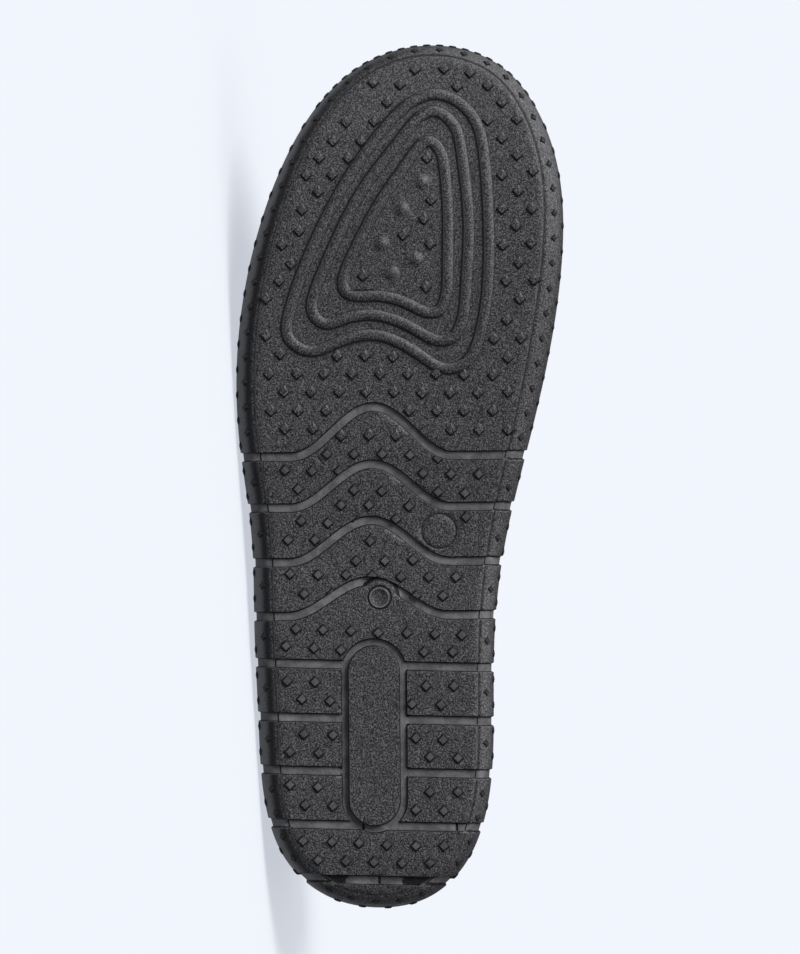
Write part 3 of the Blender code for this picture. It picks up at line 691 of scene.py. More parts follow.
    def pad_distance(self, points: Array) -> Array:
        """Return how far points lie outside (+) or inside (-) the long heel pad."""
        return off_segment(points, *self.pad_ends()) - 0.5 * self.pad_width

    def ridge_lift(self, points: Array) -> tuple[Array, Array]:
        """Return the ridges' share of their height at plan points, and the painted shade at their feet."""
        found = [self.ridge_tree.find((p[0], p[1], 0.0)) for p in points]
        nearest = np.array([(spot.x, spot.y, away) for spot, _, away in found])
        share = 2.0 * nearest[:, 2] / self.ridge_width
        # Painted shadow on the side away from the key light, a thin painted crease line on the other side
        in_shade = (points - nearest[:, :2]) @ np.array(self.dark_side)
        feet = (self.dark_foot, self.thin_foot)
        dark, thin = (np.exp(-(((share - place) / width) ** 2)) for place, width in feet)
        foot = np.where(in_shade > 0.0, dark, self.thin_foot_dark * thin)
        return (1.0 - np.clip(share, 0.0, 1.0) ** self.ridge_fullness) ** self.ridge_flatness, foot

    def dome_lift(self, points: Array) -> Array:
        """Return how far the low domes inside the ridges stand up, as a share of their height."""
        away = np.min([lengths(points - dome) for dome in self.domes], axis=0)
        return (1.0 - np.clip(away / self.dome_radius, 0.0, 1.0) ** 2) ** 1.5

    def round_line(self, away: Array) -> Array:
        """Return 1 on a round mark's line and 0 beside it, at distances from the line's middle."""
        return smooth_step(self.mark_fullness - np.abs(away) / (self.mark_half * self.mark_width))

    def mark_cut(self, points: Array) -> tuple[Array, Array]:
        """Return the depth of the mould's round marks and the button's dish, and how much painted shade
        darkens them.
        """
        button = lengths(points - self.button)
        ring = lengths(points - self.ring)
        dark = np.maximum(self.round_line(button - self.button_radius),
                          self.ring_dark * self.round_line(ring - self.ring_radius))
        dish = smooth_step((self.button_dish - button) / self.mark_width)
        rim = (button < self.button_radius - self.mark_side * self.mark_width) & (dish < self.dish_edge)
        for start, end, strength in self.ticks:
            away = off_segment(points, start, end)
            dark = np.maximum(dark, strength * np.exp(-((away / (self.tick_half * self.tick_width)) ** 2)))
        # Painted shade in the sunk lines and the dish; the button's rim is made paler
        shade = np.maximum(dark, self.dish_dark * dish) - rim * (dark < self.pale_below)
        return np.maximum(dark, dish) * self.mark_depth, shade

    def height(self, points: Array) -> tuple[Array, Array]:
        """Work out the tread's relief.

        Args:
            points: Plan points inside the tread's edge.

        Returns:
            The height of each point, and its mark: the share of a groove that is cut there, from 0
            to 1, less the painted shade of a thin dark line.
        """
        pad = self.pad_distance(points)
        ring = np.abs(pad - 0.5 * self.pad_ring) - 0.5 * self.pad_ring
        cut = self.cut_share(np.minimum(self.groove_gap(points), ring))
        floor = self.last.block_rise + self.groove_depth
        height = self.last.block_rise + self.groove_depth * cut
        inside = pad < self.pad_seam * self.brink
        rise = self.cut_share(-pad)
        height = np.where(inside, floor * rise, height)
        cut = np.where(inside, rise, cut)
        middle, half = self.rear_patch
        window = smooth_step((half - np.abs(points[:, 0] - middle)) / (self.rear_fade * half) + 0.5)
        rearmost = np.abs(self.groove_offset(GROOVES[0], points)) < self.groove_width
        cut = np.where(rearmost, cut * (self.rear_floor + (1.0 - self.rear_floor) * window), cut)
        lift, foot = self.ridge_lift(points)
        sunk, dark = self.mark_cut(points)
        height = height - self.last.block_rise * lift - self.dome_height * self.dome_lift(points) + sunk
        # The negative part of the mark is painted shade: thin lines and the ridges' feet
        return self.last.ground_rise(points[:, 1]) + height, cut - np.where(np.abs(dark) > foot, dark, foot)

    def groove_lines(self) -> list[float]:
        """Return the offsets from a groove's middle at which the tread is cut."""
        half = 0.5 * self.groove_width
        return mirrored([half + self.brink * share for share in self.brink_lines])

    def mouths(self, share: float = 1.0) -> dict[tuple[GrooveRow, float], tuple[float, float]]:
        """Find where each line of each groove leaves the tread.

        Args:
            share: 1 for the tread's edge, 0 for the outline.

        Returns:
            The outer and the inner place round the outline for each groove and offset.
        """
        dense = np.linspace(0.0, 1.0, self.mouth_samples)
        edge = self.last.inset_line(dense, share * self.last.edge_inset(dense))
        found = {}
        for row in GROOVES:
            middle = self.groove_offset(row, edge)
            for offset in self.groove_lines():
                side = middle - offset
                change = np.nonzero(side[:-1] * side[1:] < 0.0)[0]
                part = side[change] / (side[change] - side[change + 1])
                places = dense[change] + part * (dense[change + 1] - dense[change])
                found[row, offset] = (places.min(), places.max())
        return found

    def circle(self, centre: Array, radius: float) -> Line:
        """Return a closed round line."""
        count = max(self.circle_least, int(2 * math.pi * radius / self.circle_step))
        turn = np.arange(count) * 2 * math.pi / count
        return np.column_stack([np.cos(turn), np.sin(turn)]) * radius + centre, True

    def pad_loop(self, distance: float) -> Line:
        """Return a closed line at a distance round the heel pad."""
        heel, toe = self.pad_ends()
        radius = 0.5 * self.pad_width + distance
        lean = math.atan2(toe[0] - heel[0], toe[1] - heel[1])
        arc = int(math.pi * radius / self.step)
        points = []
        for centre, first in ((toe, 0.0), (heel, math.pi)):
            turn = first - lean + math.pi * np.arange(arc + 1) / arc
            points.append(np.column_stack([np.cos(turn), np.sin(turn)]) * radius + centre)
        return densify(np.concatenate(points), self.step, closed=True), True

    def guide_lines(self, positions: Array, mouths: dict) -> list[Line]:
        """Return the lines that the tread is cut along, its edge first."""
        lines = self.groove_guides(positions, mouths)
        for share in reversed(self.brink_lines):
            lines.append(self.pad_loop(-share * self.brink))
            lines.append(self.pad_loop(self.pad_ring + share * self.brink))
        for ridge in self.ridges:
            lines += self.ridge_guides(ridge)
        for centre, radius in ((self.button, self.button_radius), (self.ring, self.ring_radius)):
            lines += [self.circle(centre, radius + share * self.mark_width) for share in self.mark_lines]
        for share in self.dish_lines:
            lines.append(self.circle(self.button, self.button_dish - share * self.mark_width))
        for start, end, _ in self.ticks:
            axis = (end - start) / np.linalg.norm(end - start)
            side = np.array([-axis[1], axis[0]]) * self.tick_width
            for share in mirrored(self.tick_lines):
                lines.append((densify(np.array([start, end]) + side * share, self.step), False))
        for dome in self.domes:
            lines += [self.circle(dome, share * self.dome_radius) for share in self.dome_lines]
        return lines

    def ridge_guides(self, ridge: ClosedSpline) -> list[Line]:
        """Return the lines along one ridge, from one foot over its top to the other."""
        length = lengths(np.diff(ridge(np.linspace(0, 1, self.ridge_samples // 4)), axis=0)).sum()
        count = int(length / self.step)
        dense = np.arange(count) / count
        along = units(ridge(dense + TURN_REACH) - ridge(dense - TURN_REACH))
        side = np.stack([-along[:, 1], along[:, 0]], axis=1)
        shares = mirrored(self.ridge_lines)
        return [(ridge(dense) + side * share * 0.5 * self.ridge_width, True) for share in shares]

    def groove_guides(self, positions: Array, mouths: dict) -> list[Line]:
        """Return the tread's edge and the lines along the grooves, broken off at the heel pad."""
        edge = self.last.tread_edge(positions)
        lines = [(edge, True)]
        for (row, offset), (outer, inner) in mouths.items():
            ends = edge[[np.abs(positions - outer).argmin(), np.abs(positions - inner).argmin()]]
            count = int(abs(ends[0, 0] - ends[1, 0]) / (self.step if row.wave else self.straight_step))
            across = np.linspace(ends[0, 0], ends[1, 0], count)
            along, slope = self.wave_line(row, across)
            lean = offset / np.sqrt(1 + slope**2)
            line = np.column_stack([across - slope * lean, along + lean])
            line[0], line[-1] = ends
            lines += runs_where(line, self.pad_distance(line) > 0.5 * self.pad_ring)
        return lines


def densify(points: Array, step: float, closed: bool = False) -> Array:
    """Return a line with points added so that none of its parts is longer than a step."""
    ends = np.roll(points, -1, axis=0) if closed else points[1:]
    dense = []
    for a, b in zip(points, ends):
        count = max(1, math.ceil(float(np.linalg.norm(b - a)) / step))
        dense += [a + (b - a) * i / count for i in range(count)]
    if not closed:
        dense.append(points[-1])
    return np.array(dense)


def runs_where(line: Array, kept: Array) -> list[Line]:
    """Return the unbroken runs of a line whose points are kept."""
    runs = []
    start = None
    for i, keep in enumerate(list(kept) + [False]):
        if keep and start is None:
            start = i
        elif not keep and start is not None:
            if i - start > 1:
                runs.append((line[start:i], False))
            start = None
    return runs


INSIDE_ONLY = 1
MERGE_GAP = 1e-7
ROW_PITCH = 0.87
LINE_CLEARANCE = 0.55


def triangulate(lines: list[Line], loose: Array) -> tuple[Array, list[list[int]], list[list[int]]]:
    """Cut the area inside the first line into triangles.

    Args:
        lines: The outer line first, then the lines to cut along.
        loose: Other points that become corners.

    Returns:
        The plan points, the triangles, and for each plan point the given points that it stands for.
    """
    points = []
    edges = []
    for line, closed in lines:
        start = len(points)
        points += [Vector(p) for p in line]
        edges += [(start + i, start + i + 1) for i in range(len(line) - 1)]
        if closed:
            edges.append((start + len(line) - 1, start))
    points += [Vector(p) for p in loose]
    result = delaunay_2d_cdt(points, edges, [], INSIDE_ONLY, MERGE_GAP)
    return np.array([tuple(p) for p in result[0]]), result[2], result[3]


def scatter(lines: list[Line], spacing: float) -> Array:
    """Return a staggered grid of points inside the first line that keeps clear of every line."""
    boundary = lines[0][0]
    taken = KDTree(sum(len(points) for points, _ in lines))
    for i, point in enumerate(np.concatenate([points for points, _ in lines])):
        taken.insert((point[0], point[1], 0.0), i)
    taken.balance()
    low, high = boundary.min(axis=0), boundary.max(axis=0)
    found = []
    for row, along in enumerate(np.arange(low[1], high[1], ROW_PITCH * spacing)):
        crossing = crossings(boundary, along)
        for across in np.arange(low[0] + 0.5 * spacing * (row % 2), high[0], spacing):
            inside = np.count_nonzero(crossing > across) % 2 == 1
            if inside and taken.find((across, along, 0.0))[2] > LINE_CLEARANCE * spacing:
                found.append((across, along))
    return np.array(found)


def crossings(loop: Array, along: float) -> Array:
    """Return where a closed loop crosses a line across the foot."""
    ahead = np.roll(loop, -1, axis=0)
    hit = (loop[:, 1] > along) != (ahead[:, 1] > along)
    a, b = loop[hit], ahead[hit]
    return a[:, 0] + (along - a[:, 1]) * (b[:, 0] - a[:, 0]) / (b[:, 1] - a[:, 1])


@dataclass
class MeshParts:
    """Vertices, faces and one number to a vertex, gathered until they become one mesh."""

    points: list[Array] = field(default_factory=list)
    marks: list[Array] = field(default_factory=list)
    faces: list[Sequence[int]] = field(default_factory=list)
    count: int = 0

    def add(self, points: Array, mark: Array | float = 0.0) -> int:
        """Add points with their mark and return the number of the first."""
        first = self.count
        self.points.append(np.asarray(points, float))
        self.marks.append(np.broadcast_to(mark, (len(points),)).astype(float))
        self.count += len(points)
        return first

    def join_rings(self, first: int, rings: int, columns: int, closed: bool = False) -> None:
        """Join rings of equal length that follow one another, and the last to the first if closed."""
        for ring in range(rings if closed else rings - 1):
            low = first + ring * columns
            high = first + (ring + 1) % rings * columns
            for i in range(columns):
                j = (i + 1) % columns
                self.faces.append((low + i, low + j, high + j, high + i))

    def cap(self, loop_start: int, lines: list[Line], loose: Array, height: Callable) -> None:
        """Close a ring with a surface cut along plan lines.

        Args:
            loop_start: The ring's first vertex, whose plan is the first line.
            lines: The ring's plan line and the lines to cut along.
            loose: Other plan points that become corners.
            height: Gives the height and the mark of plan points.
        """
        plan, triangles, origins = triangulate(lines, loose)
        rim = len(lines[0][0])
        level, mark = height(plan)
        first = self.add(np.column_stack([plan, level]), mark)
        number = np.arange(len(plan)) + first
        for i, origin in enumerate(origins):
            on_rim = [k for k in origin if k < rim]
            if on_rim:
                number[i] = loop_start + on_rim[0]
        self.faces += [[int(number[k]) for k in triangle] for triangle in triangles]

    def make(self, name: str, shoe: ShoeFrame, mark_name: str | None = None) -> Object:
        """Return the gathered mesh as an object laid down with the shoe.

        Args:
            name: The object's name.
            shoe: The standing shoe's frame.
            mark_name: The attribute that keeps the marks, if any.

        Returns:
            The new object, its loose points deleted and its faces pointing out.
        """
        data = bpy.data.meshes.new(name)
        data.from_pydata(shoe.lay(np.concatenate(self.points)).tolist(), [], self.faces)
        if mark_name:
            attribute = data.attributes.new(mark_name, "FLOAT", "POINT")
            attribute.data.foreach_set("value", np.concatenate(self.marks).astype(np.float32))
        mesh = bmesh.new()
        mesh.from_mesh(data)
        bmesh.ops.delete(mesh, geom=[v for v in mesh.verts if not v.link_faces], context="VERTS")
        bmesh.ops.recalc_face_normals(mesh, faces=mesh.faces[:])
        mesh.to_mesh(data)
        mesh.free()
        data.shade_smooth()
        data.set_sharp_from_angle(angle=SHARP_ANGLE)
        piece = bpy.data.objects.new(name, data)
        bpy.context.scene.collection.objects.link(piece)
        return piece


@dataclass
class Outsole:
    """The moulded rubber sole: tread, notched side wall and the cup that holds the upper."""

    last: Last
    shoe: ShoeFrame
    relief: TreadRelief
    notch_depth: float = 1.0 * MM
    column_step: float = 1.15 * MM
    fine_step: float = 0.5 * MM
    fine_reach: float = 3.5 * MM
    heel_zone: float = 24 * MM
    column_clear: float = 0.45
    fill_step: float = 1.7 * MM
    floor_fill_step: float = 8 * MM
    wall_rows: int = 20
    wall_row_bias: float = 1.3
    tuck_from: float = 0.6
    cut_from: float = 0.35
    crease_depth: float = 0.35 * MM
    crease_width: float = 0.7 * MM
    crease_sharpness: float = 3.0
    # Painted shade at the tread's edge: a thin dark crease line that fades toward the heel, and a darker
    # valley on the outer side, away from the key light
    inner_line: float = 0.75
    outer_line: float = 0.5
    line_start: float = 12 * MM
    line_rise: float = 25 * MM
    valley_dark: float = 0.8
    valley_place: float = 2.6 * MM
    valley_width: float = 1.5 * MM
    lip_round: float = 0.6 * MM
    lip_rows: int = 5
    lip_notch: float = 0.8

    def columns(self, mouths: dict) -> Array:
        """Return the places round the outline where the wall has its columns."""
        sharp = np.array(sorted(place for pair in mouths.values() for place in pair))
        places = [sharp]
        for step, fine in ((self.column_step, False), (self.fine_step, True)):
            even = np.arange(int(self.last.girth / step)) * step / self.last.girth
            gap = np.abs(even[:, None] - sharp[None])
            gap = np.minimum(gap, 1.0 - gap).min(axis=1) * self.last.girth
            in_zone = (self.last.outline(even)[:, 1] < self.heel_zone) | (gap < self.fine_reach)
            places.append(even[(in_zone == fine) & (gap > self.column_clear * step)])
        return np.sort(np.concatenate(places))

    def wall_section(self) -> Array:
        """Return the wall's smooth section as rows of inset share, height share and notch share."""
        rows = np.array(WALL, float)
        run = run_along(rows[:, :2])
        system = np.zeros((len(rows), len(rows)))
        right = np.zeros((len(rows), 3))
        for i in range(1, len(rows) - 1):
            before, after = run[i] - run[i - 1], run[i + 1] - run[i]
            system[i, i - 1 : i + 2] = (before / 6, (before + after) / 3, after / 6)
            right[i] = (rows[i + 1] - rows[i]) / after - (rows[i] - rows[i - 1]) / before
        system[0, 0] = system[-1, -1] = 1.0
        bend = np.linalg.solve(system, right)
        section = []
        for t in run[-1] * (np.linspace(0.0, 1.0, self.wall_rows) ** self.wall_row_bias):
            i = min(int(np.searchsorted(run, t, side="right")) - 1, len(rows) - 2)
            width = run[i + 1] - run[i]
            a, b = (run[i + 1] - t) / width, (t - run[i]) / width
            curve = ((a**3 - a) * bend[i] + (b**3 - b) * bend[i + 1]) * width**2 / 6
            section.append(a * rows[i] + b * rows[i + 1] + curve)
        return np.array(section)

    def outer_rings(self, positions: Array) -> list[tuple[Array, Array]]:
        """Return the rings of the outer face from the tread's edge to the rim, with their marks, which carry
        the painted shade of the edge's crease and of the outer valley.
        """
        edge = self.last.tread_edge(positions)
        cut = self.relief.cut_share(self.relief.groove_gap(edge))
        foot = self.last.wall_foot(positions)
        rise = self.last.rim_height(positions) - foot
        inset = self.last.edge_inset(positions)
        level, _ = self.relief.height(edge)
        rings = [(np.column_stack([edge, level]), cut)]
        outer_side = np.clip(-self.last.inward(positions)[:, 0], 0.0, 1.0)
        line_fade = smooth_step((edge[:, 1] - self.line_start) / self.line_rise)
        edge_line = (self.inner_line - (self.inner_line - self.outer_line) * outer_side) * line_fade
        for share, height, notch in self.wall_section()[1:]:
            tuck = self.last.rim_tuck * smooth_step((height - self.tuck_from) / (1.0 - self.tuck_from))
            straight = self.last.inset_line(positions, share * inset + tuck)
            cut = self.relief.cut_share(self.relief.groove_gap(straight))
            plan = self.last.inset_line(positions, share * inset + tuck + notch * self.notch_depth * cut)
            away = (1.0 - share) * inset
            line = np.exp(-((away / self.crease_width - 1.0) ** 2) * self.crease_sharpness)
            # Painted shade: a darker valley on the outer side, away from the key light
            valley = np.exp(-(((away - self.valley_place) / self.valley_width) ** 2))
            valley = self.valley_dark * outer_side * valley
            lift = self.crease_depth * line * (1 - cut)
            run_in = smooth_step((share - self.cut_from) / (1.0 - self.cut_from))
            lift += self.relief.groove_depth * cut * run_in
            level = foot + rise * height * (1 - self.lip_round / rise) + lift
            # The mark takes away painted shade: the thin crease line at the tread's edge and the outer valley
            thin = np.maximum(edge_line, cut) * line
            rings.append((np.column_stack([plan, level]), cut - np.maximum(thin, valley * (1 - cut))))
        return rings

    def lip_rings(self, positions: Array) -> list[tuple[Array, Array]]:
        """Return the rings over the rim of the wall, rounded on both sides."""
        rim = self.last.rim_height(positions)
        outer, inner = self.last.rim_tuck, self.last.rim_tuck + self.last.sole_wall
        cut = self.relief.cut_share(self.relief.groove_gap(self.last.outline(positions)))
        outer_round, inner_round = self.lip_round, 0.5 * self.lip_round
        rings = []
        for centre, radius, quarter, first, notch in (
                (outer + outer_round, outer_round, 0, 1, self.notch_depth * self.lip_notch),
                (inner - inner_round, inner_round, 1, 0, 0.0)):
            for i in range(first, self.lip_rows + 1):
                turn = 0.5 * math.pi * (quarter + i / self.lip_rows)
                fade = math.cos(min(turn, 0.5 * math.pi))
                plan = self.last.inset_line(positions, centre - radius * math.cos(turn) + notch * cut * fade)
                level = rim - radius * (1.0 - math.sin(turn))
                rings.append((np.column_stack([plan, level]), cut * fade))
        return rings

    def build(self) -> Object:
        """Return the sole's mesh object."""
        mouths = self.relief.mouths()
        wide = {(row, offset, "wide"): pair for (row, offset), pair in self.relief.mouths(0.0).items()}
        positions = self.columns({**mouths, **wide})
        outer = self.outer_rings(positions) + self.lip_rings(positions)
        inner = self.last.cup_rings(positions, 0.0)
        parts = MeshParts()
        for points, mark in outer:
            parts.add(points, mark)
        parts.add(inner[1])
        parts.add(inner[0])
        rings = len(outer) + 2
        parts.join_rings(0, rings, len(positions))
        lines = self.relief.guide_lines(positions, mouths)
        parts.cap(0, lines, scatter(lines, self.fill_step), self.relief.height)
        floor = [(inner[0][:, :2], True)]
        fill = scatter(floor, self.floor_fill_step)
        parts.cap((rings - 1) * len(positions), floor, fill, self.last.level_floor(self.last.floor_height))
        # The groove attribute carries the paler groove floors and the painted shade of lines, valleys and
        # ridge feet
        piece = parts.make("outsole_moulding", self.shoe, "groove")
        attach(piece, BODY)
        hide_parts("outsole")
        return piece


@dataclass
class Seat:
    """Where a small moulded piece stands on the rubber: its place, outward normal and up the shoe."""

    place: Array
    normal: Array
    along: Array

    def matrix(self, shoe: ShoeFrame) -> Matrix:
        """Return the matrix that stands a piece, built on the ground facing +z, on this seat."""
        normal = shoe.direction(self.normal).normalized()
        along = shoe.direction(self.along)
        along = (along - normal * along.dot(normal)).normalized()
        across = along.cross(normal)
        place = Vector(shoe.lay(self.place))
        turn = Matrix((across, along, normal)).transposed().to_4x4()
        return Matrix.Translation(place) @ turn


def placed_copy(pattern: Mesh, matrix: Matrix) -> Mesh:
    """Return a copy of a small piece's mesh, moved to its place."""
    copy = pattern.copy()
    copy.transform(matrix)
    return copy


def joined(meshes: Sequence[Mesh], name: str) -> Object:
    """Return small pieces' meshes joined into one object at the origin, unturned and unscaled."""
    deselect_all()
    copies = []
    for mesh in meshes:
        copy = bpy.data.objects.new(name, mesh)
        bpy.context.scene.collection.objects.link(copy)
        copy.select_set(True)
        copies.append(copy)
    bpy.context.view_layer.objects.active = copies[0]
    bpy.ops.object.join()
    piece = bpy.context.view_layer.objects.active
    piece.name = name
    piece.data.name = name
    deselect_all()
    return piece


@dataclass
class Studs:
    """The small raised squares of the tread and of the side wall."""

    last: Last
    shoe: ShoeFrame
    relief: TreadRelief
    side: float = 4.4 * MM
    wall_side: float = 3.2 * MM
    height: float = 0.75 * MM
    wall_stud_height: float = 0.5 * MM
    sunk: float = 1.0 * MM
    edge_reach: float = 1.0 * MM
    edge_samples: int = 1500
    bevel: float = 0.10 * MM
    draft: float = 0.47
    slope_reach: float = 1.0 * MM
    wall_pitch: float = 8.2 * MM
    wall_rows: Shares = (0.13, 0.42)
    wall_reach: float = 0.03
    groove_test: float = 0.4
    groove_clearance: float = 1.7 * MM
    dense_from: float = 0.92
    brink_gap: float = 0.25 * MM
    brink_probe: float = 0.2 * MM
    brink_reach: float = 0.75
    # Painted shade on the studs' flanks, and over the whole of each wall stud
    flank_dark: float = 0.95
    heelward_to: float = 0.05
    pale_top: float = 0.93
    dark_top: float = -0.6
    pale_from: float = 440.0

    def model_stud(self, side: float, height: float, top: float) -> Object:
        """Model one square stud, its corner toeward, its foot below the ground of its seat.

        Args:
            side: How wide its foot is.
            height: How far it stands up.
            top: The groove attribute of its top: paler near 1; its flanks take painted shade, and at 0 only
                the heelward flanks, away from the key light.

        Returns:
            The stud.
        """
        deselect_all()
        bpy.ops.mesh.primitive_cube_add(size=1.0, location=(0.0, 0.0, 0.0))
        stud = bpy.context.object
        tall = height + self.sunk
        stud.scale = (side, side, tall)
        stud.location = (0.0, 0.0, 0.5 * tall - self.sunk)
        stud.rotation_euler = (0.0, 0.0, math.radians(45))
        bpy.ops.object.transform_apply(location=True, rotation=True, scale=True)
        bpy.ops.object.mode_set(mode="EDIT")
        mesh = bmesh.from_edit_mesh(stud.data)
        bpy.ops.mesh.select_all(action="DESELECT")
        for face in mesh.faces:
            face.select_set(face.normal.z > 0.9)
        bmesh.update_edit_mesh(stud.data)
        bpy.ops.transform.resize(value=(self.draft, self.draft, 1.0), center_override=(0.0, 0.0, 0.0))
        bpy.ops.mesh.select_all(action="DESELECT")
        mesh = bmesh.from_edit_mesh(stud.data)
        for edge in mesh.edges:
            edge.select_set(all(v.co.z > -0.5 * self.sunk for v in edge.verts) or
                            abs(edge.verts[0].co.z - edge.verts[1].co.z) > 0.5 * tall)
        bmesh.update_edit_mesh(stud.data)
        bpy.ops.mesh.bevel(offset=self.bevel, segments=2, affect="EDGES")
        bpy.ops.object.mode_set(mode="OBJECT")
        stud.data.shade_smooth()
        stud.data.set_sharp_from_angle(angle=SHARP_ANGLE)
        # Painted shade on the flanks: on all sides, or only on the heelward sides where the key light falls
        # on the toeward ones
        below_top = np.array([height - vertex.co.z for vertex in stud.data.vertices])
        flank = smooth_step(below_top / self.bevel)
        if top == 0.0:
            flank *= [vertex.co.y < self.heelward_to * side for vertex in stud.data.vertices]
        mark = stud.data.attributes.new("groove", "FLOAT", "POINT")
        mark.data.foreach_set("value", (top - (top + self.flank_dark) * flank).astype(np.float32))
        return stud

    def past_edge(self, seat: Seat) -> bool:
        """Return whether a seat lies so far past the tread's edge that a stud would hang in the air."""
        dense = np.linspace(0.0, 1.0, self.edge_samples)
        away = self.last.tread_edge(dense) - seat.place[:2]
        nearest = lengths(away).argmin()
        return float(away[nearest] @ self.last.inward(dense)[nearest]) > self.edge_reach

    def brink_plane(self, seat: Seat) -> tuple[Vector, Vector] | None:
        """Return the plane at the brink of the groove nearest to a stud, if it reaches that far."""
        spot = np.asarray(seat.place[:2])
        probe = spot + self.brink_probe * np.array([(0, 0), (1, 0), (-1, 0), (0, 1), (0, -1)])
        from_pad = self.relief.pad_distance(probe) - self.relief.pad_ring
        gap = np.minimum(self.relief.groove_gap(probe), from_pad)
        if gap[0] > self.brink_reach * self.side:
            return None
        slope = np.array([gap[1] - gap[2], gap[3] - gap[4]])
        slope /= np.linalg.norm(slope)
        place = spot - slope * (gap[0] - self.brink_gap)
        return Vector(self.shoe.lay(np.array([*place, seat.place[2]]))), self.shoe.direction((*slope, 0.0))

    @staticmethod
    def cut_stud(pattern: Mesh, matrix: Matrix, plane: tuple[Vector, Vector]) -> Mesh:
        """Return a copy of the stud in its place, cut off at a plane and closed there."""
        mesh = bmesh.new()
        mesh.from_mesh(pattern)
        mesh.transform(matrix)
        everything = mesh.verts[:] + mesh.edges[:] + mesh.faces[:]
        cut_off = {"plane_co": plane[0], "plane_no": plane[1], "clear_inner": True}
        found = bmesh.ops.bisect_plane(mesh, geom=everything, **cut_off)
        rim = [piece for piece in found["geom_cut"] if isinstance(piece, bmesh.types.BMEdge)]
        if rim:
            bmesh.ops.edgeloop_fill(mesh, edges=rim)
        cut = pattern.copy()
        mesh.to_mesh(cut)
        mesh.free()
        return cut

    def tread_seat(self, pixel: Pixel) -> Seat:
        """Return the seat on the tread's blocks that a pixel of the photograph shows."""
        plan = self.relief.photo.plan(pixel)
        along = np.array([plan[1] - self.slope_reach, plan[1] + self.slope_reach])
        slope = np.diff(self.last.ground_rise(along))[0] / (2 * self.slope_reach)
        level = self.last.ground_rise(plan[1]) + self.last.block_rise
        normal = np.array([0.0, slope, -1.0]) / math.hypot(slope, 1.0)
        return Seat(np.array([plan[0], plan[1], level]), normal, np.array([0.0, 1.0, slope]))

    def wall_seats(self, sole: Outsole) -> list[Seat]:
        """Return the seats of the staggered rows of studs round the side wall."""
        count = int(self.last.girth / self.wall_pitch)
        section = sole.wall_section()
        seats = []
        for row, height in enumerate(self.wall_rows):
            steps = np.arange(2 * count) + row % 2
            positions = steps / (2 * count)
            spots = self.last.inset_line(positions, self.groove_test * self.last.edge_inset(positions))
            toeward = spots[:, 1] > self.dense_from * self.last.sole_length
            kept = ((steps - row) % 2 == 0) | (toeward & (row > 0))
            clear = self.relief.groove_gap(spots, with_button=False) > self.groove_clearance
            positions = positions[kept & clear]
            inset = self.last.edge_inset(positions)
            foot = self.last.wall_foot(positions)
            rise = self.last.rim_height(positions) - foot
            levels = [height - self.wall_reach, height, height + self.wall_reach]
            share = np.interp(levels, section[:, 1], section[:, 0])
            plan = self.last.inset_line(positions, share[1] * inset)
            outward = -self.last.inward(positions)
            lean = (share[0] - share[2]) * inset / (2 * self.wall_reach * rise)
            place = np.column_stack([plan, foot + height * rise])
            normal = units(np.column_stack([outward, -lean]))
            up = units(np.column_stack([outward * lean[:, None], np.ones(len(lean))]))
            seats += [Seat(*row) for row in zip(place, normal, up)]
        return seats

    def build(self, sole: Outsole) -> list[Object]:
        """Return the joined studs of the tread and those of the wall."""
        front = self.model_stud(self.side, self.height, 0.0)
        back = self.model_stud(self.side, self.height, self.pale_top)
        meshes = []
        for pixel in STUD_CHART:
            seat = self.tread_seat(pixel)
            if self.past_edge(seat):
                continue
            pattern = back.data if pixel[1] > self.pale_from else front.data
            matrix = seat.matrix(self.shoe)
            plane = self.brink_plane(seat)
            meshes.append(self.cut_stud(pattern, matrix, plane) if plane else placed_copy(pattern, matrix))
        # Wall studs take painted shade over their tops and flanks
        wall = self.model_stud(self.wall_side, self.wall_stud_height, self.dark_top)
        low = [placed_copy(wall.data, seat.matrix(self.shoe)) for seat in self.wall_seats(sole)]
        low = [mesh for mesh in low if min(vertex.co.z for vertex in mesh.vertices) > 0.0]
        for pattern in (front, back, wall):
            bpy.data.objects.remove(pattern)
        pieces = [joined(meshes, "tread_studs"), joined(low, "wall_studs")]
        for piece in pieces:
            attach(piece, BODY)
        return pieces


class Crease(NamedTuple):
    """A soft trough of the upper between two places, each a side, a station and a share up."""

    side: Side
    station: float
    up: float
    to_side: Side
    to_station: float
    to_up: float
    width: float
    depth: float


CREASES = [Crease(*row) for row in (
    (Side.OUTER, 0.74, 0.34, Side.TOE, 1.00, 0.50, 7.0 * MM, 0.75 * MM),
    (Side.TOE, 1.00, 0.50, Side.INNER, 0.74, 0.34, 7.0 * MM, 0.75 * MM),
    (Side.OUTER, 0.63, 0.40, Side.TOE, 1.00, 0.68, 7.0 * MM, 0.65 * MM),
    (Side.TOE, 1.00, 0.68, Side.INNER, 0.63, 0.40, 7.0 * MM, 0.65 * MM),
    (Side.OUTER, 0.07, 0.66, Side.OUTER, 0.30, 0.30, 8.0 * MM, 0.60 * MM),
    (Side.INNER, 0.07, 0.66, Side.INNER, 0.30, 0.30, 8.0 * MM, 0.60 * MM),
    (Side.OUTER, 0.30, 0.66, Side.OUTER, 0.50, 0.34, 8.0 * MM, 0.50 * MM),
    (Side.INNER, 0.30, 0.66, Side.INNER, 0.50, 0.34, 8.0 * MM, 0.50 * MM),
)]


